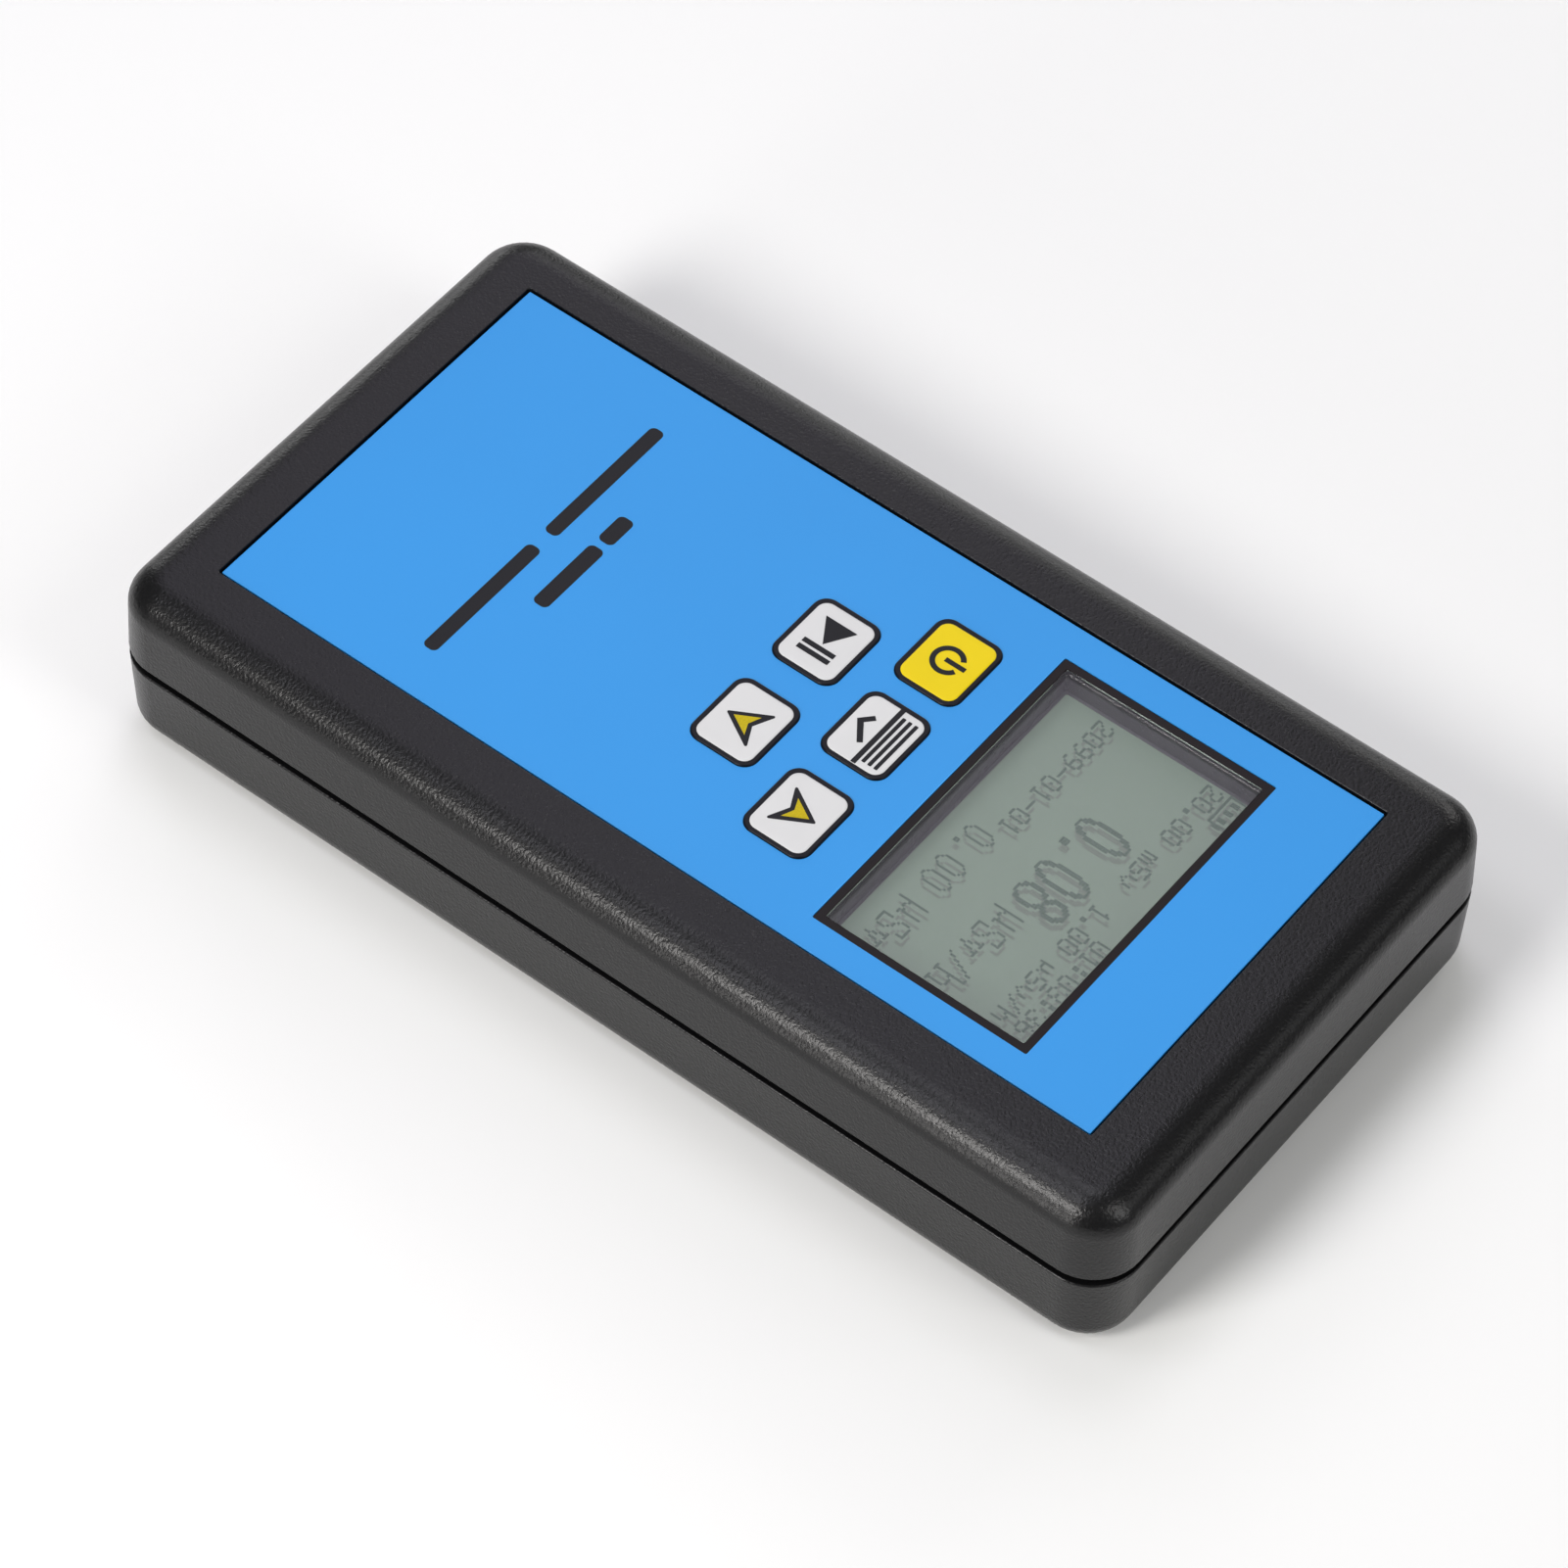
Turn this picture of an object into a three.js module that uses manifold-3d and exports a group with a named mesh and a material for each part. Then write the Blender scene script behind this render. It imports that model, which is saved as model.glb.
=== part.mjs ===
// Handheld geiger counter: a flat two-part plastic case with a blue front overlay, a sunken
// dot-matrix display, five keys, a circuit board with a geiger tube, and two AA cells.
// Millimetres. +X is the user's right, +Y points to the display end, +Z out of the front face.
// The origin is on the rear face, under the middle of the case.

import * as THREE from 'three';
import { mergeVertices } from 'three/addons/utils/BufferGeometryUtils.js';
import Module from 'manifold-3d';

const wasm = await Module();
wasm.setup();

// ---- driving dimensions ----

const CASE = { width: 80, length: 153.5, height: 26, wall: 2.2, corner: 6.9 };
const FRONT_FILLET = 4;
const REAR_FILLET = 3.7;
const FRONT_INNER_Z = 23.1;              // inner side of the front wall
const SEAM = { z: 13.7, gap: 1.3, depth: 1.2 };
const TONGUE_RISE = 2.6;                 // how far the rear shell's tongue rises past the seam
const GAP = 0.3;                         // clearance between neighbouring pieces
const FINE_GAP = 0.15;                   // clearance of a film or cap in its recess
const BITE = 0.4;                        // how far a joined block runs into its neighbour

const OVERLAY = { x: -0.8, y: -0.5, width: 59.4, length: 132.4, thickness: 0.5, corner: 0.4 };
const OVERLAY_SUNK = 0.25;               // overlay surface below the case's front plane
const OVERLAY_TOP = CASE.height - OVERLAY_SUNK;
const OVERLAY_BOTTOM = OVERLAY_TOP - OVERLAY.thickness;
const RECESS_FLOOR = OVERLAY_BOTTOM - FINE_GAP;

const WINDOW = { x: OVERLAY.x + 0.3, y: OVERLAY.y + 38.0, width: 50.3, length: 31.6, border: 1.15 };
const LENS_THICKNESS = 1;
const LENS_TOP = OVERLAY_BOTTOM - 0.1;
const LEDGE_Z = LENS_TOP - LENS_THICKNESS - FINE_GAP;
const COLLAR_WALL = 2;
const DISPLAY_DEPTH = 5;                 // display glass below the overlay surface
const DISPLAY_TOP = OVERLAY_TOP - DISPLAY_DEPTH;

const BOARD = { top: 15.2, bottom: 13.6, halfWidth: 35, low: -13.2, high: 72.5 };
const BOARD_NOTCH = { halfWidth: 26.5, y: 61.5 };
const PART_GAP = 0.2;                    // solder gap between the board and what it carries
const UNDER_BOARD = BOARD.bottom - PART_GAP;

const KEY = { width: 11.6, length: 9.8, corner: 2, proud: 0.4, rim: 0.4, stemRadius: 1.9 };
const KEY_FLANGE = { overhang: 0.9, thickness: 1 };
const KEYS = {
  power: [-15.2, 11.6],
  menu: [-0.7, 11.6],
  up: [14.4, 11.6],
  play: [-8.4, -1.9],
  down: [7.6, -1.9],
};
const SWITCH = { size: 6, height: 3.4, plungerRadius: 1.65, plungerRise: 1.1, sink: 1.2 };
const SWITCH_LOW = BOARD.top + 0.1;
const SWITCH_HIGH = SWITCH_LOW + SWITCH.height;

const CASE_SCREW = { x: 31, y: 66, headRadius: 2.8, shankRadius: 1.4, low: 3.1, headHeight: 1.9,
  shankEnd: 19.6, tip: 20.8 };
const SCREW_WELL_TOP = CASE_SCREW.low + CASE_SCREW.headHeight + FINE_GAP;
const BOARD_SCREW = { headRadius: 2.2, headHeight: 1.6, shankRadius: 1.05, tip: 0.8, pilotRadius: 1.25,
  holeRadius: 1.35 };
const BOARD_SCREWS = [[-31.5, -9], [31.5, -9], [-31.5, 57.5], [31.5, 57.5]];
const BOSS_RADIUS = { rear: 3.8, front: 3.5, board: 2.6 };

const CELL = { radius: 7.2, length: 50.5, nubRadius: 2.75, nubLength: 1.4, pitch: 15.1, z: 9.5 };
const BAY = { halfWidth: 15.25, low: -73.1, high: -15.6, roof: 17.1, wall: 1.3 };
const DOOR = { halfWidth: 20, high: -13.5, thickness: 1.9, endWall: 2.15, endHeight: 6.5 };
const DOOR_TABS = [-60.5, -32.5];        // middle of each pair of retaining tabs, along Y
const DOOR_TAB = { length: 7, reach: 1.4, low: 2.5, high: 3.4 };
const DOOR_GRIP = { count: 5, halfWidth: 8, first: -67.5, pitch: 2.2, halfGroove: 0.5, depth: 0.5 };
const DOOR_TRAVEL = 8;
const SHELF = { halfWidth: 24, high: -11.8, top: 4.9, tunnelTop: 3.7, tunnelHalfWidth: 22.2 };

const CONTACT = { thickness: 0.4, low: 4.4, high: 14.8, halfWidth: 5.5, bridgeHalfWidth: 13 };
const CONTACT_TAB = { halfWidth: 1.5, low: 12.4, high: 13, length: 7 };
const TAB_SLOT = { halfWidth: 2, low: 11.9, high: 13.5 };
const SPRING = { wire: 0.35, wide: 4.6, narrow: 2.4, turns: 3.5 };

const TUBE = { x: 22, z: 8, radius: 5, pinRadius: 2.5, low: -12, high: 72, pinLength: 8, neck: 0.8,
  shoulder: 1.2 };
const TUBE_SLOTS = { count: 6, width: 12, height: 2, corner: 0.95, first: 7.5, pitch: 9 };
const CLIP = { halfWidth: 4.4, halfLength: 2, below: 3.4, mouth: 1.9, inset: 4.2 };
const TRANSFORMER = { x: 1, y: 55 };
const CAPACITOR = { x: 1, y: 38, radius: 4, height: 9.6 };
const CONTROLLER = { x: -4, y: 18, size: 10, height: 1.5 };
const CRYSTAL = { x: -4, y: 4, halfWidth: 3.2, halfLength: 1.1, height: 2.2 };
const CLOCK_CELL = { x: -24, y: 24, radius: 6.2, height: 2.3 };
const BUZZER = { x: -24, y: 50, radius: 6, height: 8.4, holeRadius: 1.1, holeDepth: 3.4 };
const BUZZER_SLOTS = { width: 10, taper: 2, height: 1.6, corner: 0.75, pitch: 3.4 };

const ROUND = 14;                        // sides of a small round piece

// ---- materials ----

const finish = (color, roughness, metalness = 0) =>
  new THREE.MeshStandardMaterial({ color, roughness, metalness });

const blackPlastic = finish(0x2e2e31, 0.55);
const overlayBlue = finish(0x459be6, 0.45);
const keyWhite = finish(0xe0e0e4, 0.5);
const keyYellow = finish(0xf5d81e, 0.5);
const clearAcrylic = finish(0xdfe6e4, 0.08);
const displayGreen = finish(0x86948c, 0.25);
const whiteDiffuser = finish(0xf0f0ea, 0.5);
const boardGreen = finish(0x1d5a35, 0.45);
const tinned = finish(0xb9bbbd, 0.35, 1);
const springSteel = finish(0xc4c4c0, 0.3, 1);
const tubeGlass = finish(0x6c5a48, 0.15);
const chipBlack = finish(0x1b1b1d, 0.5);
const ferrite = finish(0x3a3937, 0.6);
const capBlue = finish(0x24426e, 0.4);
const cellJacket = finish(0x8a8d92, 0.35, 0.4);
const rubberBlack = finish(0x202022, 0.85);

// ---- shape helpers ----

function roundedRect(width, length, radius) {
  const x = width / 2;
  const y = length / 2;
  const shape = new THREE.Shape();
  shape.absarc(x - radius, y - radius, radius, 0, Math.PI / 2, false);
  shape.absarc(radius - x, y - radius, radius, Math.PI / 2, Math.PI, false);
  shape.absarc(radius - x, radius - y, radius, Math.PI, Math.PI * 1.5, false);
  shape.absarc(x - radius, radius - y, radius, Math.PI * 1.5, Math.PI * 2, false);
  shape.closePath();
  return shape;
}

// curveSegments gives an arc twice as many sides as it says.
function prism(shape, low, high, steps = 3) {
  const geometry = new THREE.ExtrudeGeometry(shape, {
    depth: high - low,
    bevelEnabled: false,
    curveSegments: steps,
  });
  return geometry.translate(0, 0, low);
}

// A plate with rounded corners, standing from low to high.
function plate(width, length, radius, low, high, x = 0, y = 0, steps = 1) {
  return prism(roundedRect(width, length, radius), low, high, steps).translate(x, y, 0);
}

// A plate whose two outer rims are rounded over as well.
function softPlate(width, length, radius, low, high, fillet, steps = 3, rimSteps = 3) {
  const core = roundedRect(width - 2 * fillet, length - 2 * fillet, radius - fillet);
  const geometry = new THREE.ExtrudeGeometry(core, {
    depth: high - low - 2 * fillet,
    bevelThickness: fillet,
    bevelSize: fillet,
    bevelSegments: rimSteps,
    curveSegments: steps,
  });
  return geometry.translate(0, 0, low + fillet);
}

// A box from its lowest to its highest corner.
function block(x0, x1, y0, y1, z0, z1) {
  const geometry = new THREE.BoxGeometry(x1 - x0, y1 - y0, z1 - z0);
  return geometry.translate((x0 + x1) / 2, (y0 + y1) / 2, (z0 + z1) / 2);
}

// A round bar standing along Z.
function post(radius, low, high, x = 0, y = 0, sides = ROUND) {
  const geometry = new THREE.CylinderGeometry(radius, radius, high - low, sides);
  return geometry.rotateX(Math.PI / 2).translate(x, y, (low + high) / 2);
}

// A turned solid along Z from [radius, height] pairs, closed on its axis.
function turned(profile, sides = ROUND) {
  const points = profile.map(([radius, height]) => new THREE.Vector2(radius, height));
  return new THREE.LatheGeometry(points, sides).rotateX(Math.PI / 2);
}

function solid(geometry) {
  geometry.deleteAttribute('normal');
  geometry.deleteAttribute('uv');
  const merged = mergeVertices(geometry, 1e-4);
  const vertProperties = new Float32Array(merged.attributes.position.array);
  const triVerts = new Uint32Array(merged.index.array);
  return new wasm.Manifold(new wasm.Mesh({ numProp: 3, vertProperties, triVerts }));
}

function joined(...geometries) {
  return geometries.map(solid).reduce((whole, next) => whole.add(next));
}

function cutBy(body, ...geometries) {
  return geometries.map(solid).reduce((rest, tool) => rest.subtract(tool), body);
}

function surface(body) {
  const mesh = body.getMesh();
  const geometry = new THREE.BufferGeometry();
  geometry.setAttribute('position', new THREE.BufferAttribute(mesh.vertProperties, 3));
  geometry.setIndex(new THREE.BufferAttribute(mesh.triVerts, 1));
  return geometry;
}

const model = new THREE.Group();

function place(name, geometry, material, x = 0, y = 0, z = 0) {
  const mesh = new THREE.Mesh(geometry, material);
  mesh.name = name;
  mesh.position.set(x, y, z);
  model.add(mesh);
  return mesh;
}

const corners = [[-1, 1], [1, 1], [-1, -1], [1, -1]];
const keyPlace = ([x, y]) => [OVERLAY.x + x, OVERLAY.y + y];

// An outline parallel to the case's own, set in from it.
function caseOutline(inset, low, high) {
  return plate(CASE.width - 2 * inset, CASE.length - 2 * inset, CASE.corner - inset, low, high, 0, 0, 3);
}

function caseBody(fillet) {
  return softPlate(CASE.width, CASE.length, CASE.corner, 0, CASE.height, fillet);
}

// ---- case ----

// The front half of the case, from the seam up, open behind.
function frontShell() {
  const rim = SEAM.z + SEAM.gap / 2;
  const clearWidth = WINDOW.width - 2 * WINDOW.border;
  const clearLength = WINDOW.length - 2 * WINDOW.border;
  const below = block(-60, 60, -90, 90, -5, rim);
  const cavity = caseOutline(CASE.wall, 0, FRONT_INNER_Z);
  let shell = cutBy(solid(caseBody(FRONT_FILLET)), below, cavity);

  const collar = plate(clearWidth + 2 * COLLAR_WALL, clearLength + 2 * COLLAR_WALL, 1,
    DISPLAY_TOP + PART_GAP, FRONT_INNER_Z + BITE, WINDOW.x, WINDOW.y);
  shell = shell.add(solid(collar));
  for (const [sx, sy] of corners) {
    const boss = post(BOSS_RADIUS.front, SEAM.z, FRONT_INNER_Z + BITE,
      sx * CASE_SCREW.x, sy * CASE_SCREW.y);
    shell = shell.add(solid(boss));
  }
  for (const [x, y] of BOARD_SCREWS) {
    shell = shell.add(solid(post(BOSS_RADIUS.board, BOARD.top + PART_GAP, FRONT_INNER_Z + BITE, x, y)));
  }

  const tongueGroove = caseOutline(SEAM.depth - FINE_GAP, SEAM.z - 2, SEAM.z + TONGUE_RISE + GAP);
  const tongueCore = caseOutline(CASE.wall + 0.01, SEAM.z - 3, SEAM.z + TONGUE_RISE + 1);
  shell = shell.subtract(solid(tongueGroove).subtract(solid(tongueCore)));

  shell = cutBy(shell,
    plate(OVERLAY.width + 2 * FINE_GAP, OVERLAY.length + 2 * FINE_GAP, OVERLAY.corner,
      RECESS_FLOOR, CASE.height + 2, OVERLAY.x, OVERLAY.y),
    plate(WINDOW.width + 2 * FINE_GAP, WINDOW.length + 2 * FINE_GAP, 0.6,
      LEDGE_Z, CASE.height + 2, WINDOW.x, WINDOW.y),
    plate(clearWidth, clearLength, 0.4, DISPLAY_TOP - 2, CASE.height + 2, WINDOW.x, WINDOW.y));
  for (const at of Object.values(KEYS)) {
    const [x, y] = keyPlace(at);
    shell = cutBy(shell, plate(KEY.width + 0.5, KEY.length + 0.5, KEY.corner + 0.25,
      FRONT_INNER_Z - 2, CASE.height + 2, x, y, 2));
  }
  for (const [sx, sy] of corners) {
    shell = cutBy(shell, post(CASE_SCREW.shankRadius + 0.2, SEAM.z - 2, FRONT_INNER_Z - 1,
      sx * CASE_SCREW.x, sy * CASE_SCREW.y, 10));
  }
  for (const [x, y] of BOARD_SCREWS) {
    shell = cutBy(shell, post(BOARD_SCREW.pilotRadius, BOARD.top - 1, FRONT_INNER_Z - 2, x, y, 8));
  }
  return surface(shell);
}

// The rear half of the case: floor, side wall, seam tongue, battery bay and screw bosses.
function rearShell() {
  const rim = SEAM.z - SEAM.gap / 2;
  const floor = CASE.wall;
  const above = block(-60, 60, -90, 90, rim, CASE.height + 5);
  let shell = cutBy(solid(caseBody(REAR_FILLET)), above, caseOutline(CASE.wall, floor, CASE.height));

  const tongue = solid(caseOutline(SEAM.depth, rim - 1.5, SEAM.z + TONGUE_RISE))
    .subtract(solid(caseOutline(CASE.wall, rim - 3, SEAM.z + TONGUE_RISE + 1)));
  const bay = block(-BAY.halfWidth - BAY.wall, BAY.halfWidth + BAY.wall,
    BAY.low - BAY.wall, BAY.high + BAY.wall, floor - BITE, BAY.roof + BAY.wall);
  const shelf = block(-SHELF.halfWidth, SHELF.halfWidth, BAY.low - BAY.wall, SHELF.high,
    floor - BITE, SHELF.top);
  shell = shell.add(tongue).add(solid(bay)).add(solid(shelf));
  for (const [sx, sy] of corners) {
    shell = shell.add(solid(post(BOSS_RADIUS.rear, floor - BITE, SEAM.z - GAP,
      sx * CASE_SCREW.x, sy * CASE_SCREW.y)));
  }

  shell = cutBy(shell,
    block(-BAY.halfWidth, BAY.halfWidth, BAY.low, BAY.high, -1, BAY.roof),
    block(-SHELF.tunnelHalfWidth, SHELF.tunnelHalfWidth, BAY.low, DOOR.high + GAP,
      floor, SHELF.tunnelTop),
    block(-DOOR.halfWidth - GAP, DOOR.halfWidth + GAP, -90, DOOR.high + GAP, -1, floor + 0.1),
    block(-DOOR.halfWidth - GAP, DOOR.halfWidth + GAP, -90,
      -CASE.length / 2 + DOOR.endWall + 0.25, -1, DOOR.endHeight + GAP));
  for (const y of DOOR_TABS) {
    const reach = DOOR.halfWidth + DOOR_TAB.reach + GAP;
    const middle = y - DOOR_TRAVEL;
    const half = DOOR_TAB.length / 2 + GAP;
    shell = cutBy(shell, block(-reach, reach, middle - half, middle + half, -1, floor + 0.2));
  }
  for (const x of [-CELL.pitch / 2, CELL.pitch / 2]) {
    shell = cutBy(shell, block(x - TAB_SLOT.halfWidth, x + TAB_SLOT.halfWidth,
      BAY.high - 1, BAY.high + BAY.wall + 1, TAB_SLOT.low, TAB_SLOT.high));
  }
  for (const [sx, sy] of corners) {
    const x = sx * CASE_SCREW.x;
    const y = sy * CASE_SCREW.y;
    shell = cutBy(shell, post(CASE_SCREW.headRadius + GAP, -1, SCREW_WELL_TOP, x, y),
      post(CASE_SCREW.shankRadius + GAP, SCREW_WELL_TOP - 1, SEAM.z + 2, x, y, 10));
  }
  for (let i = 0; i < TUBE_SLOTS.count; i += 1) {
    shell = cutBy(shell, plate(TUBE_SLOTS.width, TUBE_SLOTS.height, TUBE_SLOTS.corner, -1, floor + 1,
      TUBE.x, TUBE_SLOTS.first + TUBE_SLOTS.pitch * i));
  }
  for (let i = -1; i <= 1; i += 1) {
    shell = cutBy(shell, plate(BUZZER_SLOTS.width - BUZZER_SLOTS.taper * Math.abs(i),
      BUZZER_SLOTS.height, BUZZER_SLOTS.corner, -1, floor + 1,
      BUZZER.x, BUZZER.y + BUZZER_SLOTS.pitch * i));
  }
  return surface(shell);
}

// The sliding battery door: a flat panel that wraps the lower end of the case, with four tabs.
function batteryDoor() {
  const end = -CASE.length / 2;
  const body = solid(caseBody(REAR_FILLET));
  const panel = solid(block(-DOOR.halfWidth, DOOR.halfWidth, end - 5, DOOR.high, -1, DOOR.thickness));
  const turnUp = solid(block(-DOOR.halfWidth, DOOR.halfWidth, end - 5, end + DOOR.endWall,
    -1, DOOR.endHeight));
  let door = body.intersect(panel.add(turnUp));
  for (const y of DOOR_TABS) {
    const low = y - DOOR_TAB.length / 2;
    const high = y + DOOR_TAB.length / 2;
    const reach = DOOR.halfWidth + DOOR_TAB.reach;
    for (const side of [-1, 1]) {
      const root = [side * (DOOR.halfWidth - 2), side * (DOOR.halfWidth - 0.1)].sort((a, b) => a - b);
      const tip = [side * (DOOR.halfWidth - 2), side * reach].sort((a, b) => a - b);
      door = door.add(solid(block(root[0], root[1], low, high, DOOR.thickness - BITE, DOOR_TAB.high)));
      door = door.add(solid(block(tip[0], tip[1], low, high, DOOR_TAB.low, DOOR_TAB.high)));
    }
  }
  for (let i = 0; i < DOOR_GRIP.count; i += 1) {
    const y = DOOR_GRIP.first + DOOR_GRIP.pitch * i;
    door = cutBy(door, block(-DOOR_GRIP.halfWidth, DOOR_GRIP.halfWidth,
      y - DOOR_GRIP.halfGroove, y + DOOR_GRIP.halfGroove, -1, DOOR_GRIP.depth));
  }
  return surface(door);
}

function caseParts() {
  place('front_shell', frontShell(), blackPlastic);
  place('rear_shell', rearShell(), blackPlastic);
  place('battery_door', batteryDoor(), blackPlastic);
  const { low, headRadius, headHeight, shankRadius, shankEnd, tip } = CASE_SCREW;
  const profile = [[0, low], [headRadius, low], [headRadius, low + headHeight],
    [shankRadius, low + headHeight], [shankRadius, shankEnd], [0, tip]];
  corners.forEach(([sx, sy], i) => {
    place(`case_screw_${i + 1}`, turned(profile, 10), tinned, sx * CASE_SCREW.x, sy * CASE_SCREW.y);
  });
}

// ---- front face ----

// The blue film in the front recess, cut out for the display window and the keys.
function overlayFilm() {
  const film = solid(plate(OVERLAY.width, OVERLAY.length, OVERLAY.corner,
    OVERLAY_BOTTOM, OVERLAY_TOP, OVERLAY.x, OVERLAY.y));
  const openings = Object.values(KEYS).map((at) => {
    const [x, y] = keyPlace(at);
    return plate(KEY.width + 0.4, KEY.length + 0.4, KEY.corner + 0.2, 20, 30, x, y, 2);
  });
  openings.push(plate(WINDOW.width, WINDOW.length, 0.3, 20, 30, WINDOW.x, WINDOW.y));
  return surface(cutBy(film, ...openings));
}

// The black border of the display window, a thin ring over the lens.
function windowBorder() {
  const ring = solid(plate(WINDOW.width - 0.2, WINDOW.length - 0.2, 0.3,
    OVERLAY_BOTTOM, OVERLAY_TOP - 0.1, WINDOW.x, WINDOW.y));
  return surface(cutBy(ring, plate(WINDOW.width - 2 * WINDOW.border, WINDOW.length - 2 * WINDOW.border,
    0.4, 20, 30, WINDOW.x, WINDOW.y)));
}

// One key: a low pillowed cap, a flange that holds it in, and a stem down to its switch.
function keyCap() {
  const top = OVERLAY_TOP + KEY.proud;
  const flangeTop = FRONT_INNER_Z - 0.2;
  const flangeBottom = flangeTop - KEY_FLANGE.thickness;
  const stemBottom = SWITCH_HIGH + SWITCH.plungerRise + PART_GAP;
  const cap = softPlate(KEY.width, KEY.length, KEY.corner, flangeBottom, top, KEY.rim, 2, 2);
  const flange = plate(KEY.width + 2 * KEY_FLANGE.overhang, KEY.length + 2 * KEY_FLANGE.overhang,
    KEY.corner, flangeBottom, flangeTop);
  return surface(joined(cap, flange, post(KEY.stemRadius, stemBottom, flangeBottom + 0.2, 0, 0, 8)));
}

// A square tactile switch, hollow where its plunger sinks in.
function switchBody() {
  const half = SWITCH.size / 2;
  const housing = solid(block(-half, half, -half, half, SWITCH_LOW, SWITCH_HIGH));
  return surface(cutBy(housing,
    post(SWITCH.plungerRadius + 0.2, SWITCH_HIGH - 1.9, SWITCH_HIGH + 1, 0, 0, 10)));
}

function frontParts() {
  place('front_overlay', overlayFilm(), overlayBlue);
  place('window_border', windowBorder(), blackPlastic);
  place('window_lens', plate(WINDOW.width, WINDOW.length, 0.4, LENS_TOP - LENS_THICKNESS, LENS_TOP,
    WINDOW.x, WINDOW.y), clearAcrylic);
  for (const [name, at] of Object.entries(KEYS)) {
    const [x, y] = keyPlace(at);
    place(`key_${name}`, keyCap(), name === 'power' ? keyYellow : keyWhite, x, y);
    place(`plunger_${name}`, post(SWITCH.plungerRadius, SWITCH_HIGH - SWITCH.sink,
      SWITCH_HIGH + SWITCH.plungerRise, 0, 0, 10), chipBlack, x, y);
    place(`switch_${name}`, switchBody(), tinned, x, y);
  }
}

// ---- display ----

function displayParts() {
  const glass = { width: 53, length: 34, low: DISPLAY_TOP - 2.7 };
  const low = BOARD.top + GAP;
  const holderOuter = plate(56, 37, 1, low, DISPLAY_TOP - 0.25, WINDOW.x, WINDOW.y);
  const holderInner = plate(glass.width + 0.6, glass.length + 0.6, 0.5, 10, 30, WINDOW.x, WINDOW.y);
  const front = WINDOW.y - glass.length / 2;
  place('display_glass', plate(glass.width, glass.length, 0.3, glass.low, DISPLAY_TOP,
    WINDOW.x, WINDOW.y), displayGreen);
  place('display_holder', surface(cutBy(solid(holderOuter), holderInner)), blackPlastic);
  place('display_backlight', plate(50, 29.6, 0.3, low, glass.low - PART_GAP,
    WINDOW.x, WINDOW.y + 1.8), whiteDiffuser);
  place('display_connector', block(WINDOW.x - 24, WINDOW.x + 24, front + 0.6, front + 2.8,
    low, glass.low - PART_GAP), rubberBlack);
}

// ---- circuit board ----

function boardPlate() {
  const { halfWidth, low, high } = BOARD;
  const notch = BOARD_NOTCH;
  const outline = new THREE.Shape([
    [-halfWidth, low], [halfWidth, low], [halfWidth, notch.y], [notch.halfWidth, notch.y],
    [notch.halfWidth, high], [-notch.halfWidth, high], [-notch.halfWidth, notch.y],
    [-halfWidth, notch.y],
  ].map(([x, y]) => new THREE.Vector2(x, y)));
  const holes = BOARD_SCREWS.map(([x, y]) => post(BOARD_SCREW.holeRadius, 10, 20, x, y, 10));
  return surface(cutBy(solid(prism(outline, BOARD.bottom, BOARD.top)), ...holes));
}

// A spring clip that hangs from the board and grips one pin of the tube.
function tubeClip() {
  const { halfWidth, halfLength, below, mouth } = CLIP;
  const body = solid(block(-halfWidth, halfWidth, -halfLength, halfLength, TUBE.z - below, UNDER_BOARD));
  const bore = post(TUBE.pinRadius + 0.25, -5, 5, 0, 0, 12).rotateX(Math.PI / 2).translate(0, 0, TUBE.z);
  return surface(cutBy(body, bore, block(-mouth, mouth, -3, 3, TUBE.z - 5, TUBE.z)));
}

// A glass tube with a contact pin at each end, lying along Y.
function geigerTube() {
  const { radius, pinRadius, pinLength, neck, shoulder } = TUBE;
  const length = TUBE.high - TUBE.low;
  const half = [[0, 0], [pinRadius, 0], [pinRadius, pinLength], [radius - neck, pinLength],
    [radius, pinLength + shoulder]];
  const otherHalf = half.map(([r, z]) => [r, length - z]).reverse();
  return turned([...half, ...otherHalf]).rotateX(-Math.PI / 2);
}

function transformer() {
  const core = block(-6.5, 6.5, -2.6, 2.6, UNDER_BOARD - 9, UNDER_BOARD);
  const winding = block(-4.2, 4.2, -5.2, 5.2, UNDER_BOARD - 7.6, UNDER_BOARD - 1.2);
  return surface(joined(core, winding));
}

function buzzer() {
  const { radius, height, holeRadius, holeDepth } = BUZZER;
  const low = UNDER_BOARD - height;
  const can = solid(post(radius, low, UNDER_BOARD, 0, 0, 20));
  return surface(cutBy(can, post(holeRadius, low - 1, low + holeDepth, 0, 0, 8)));
}

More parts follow.
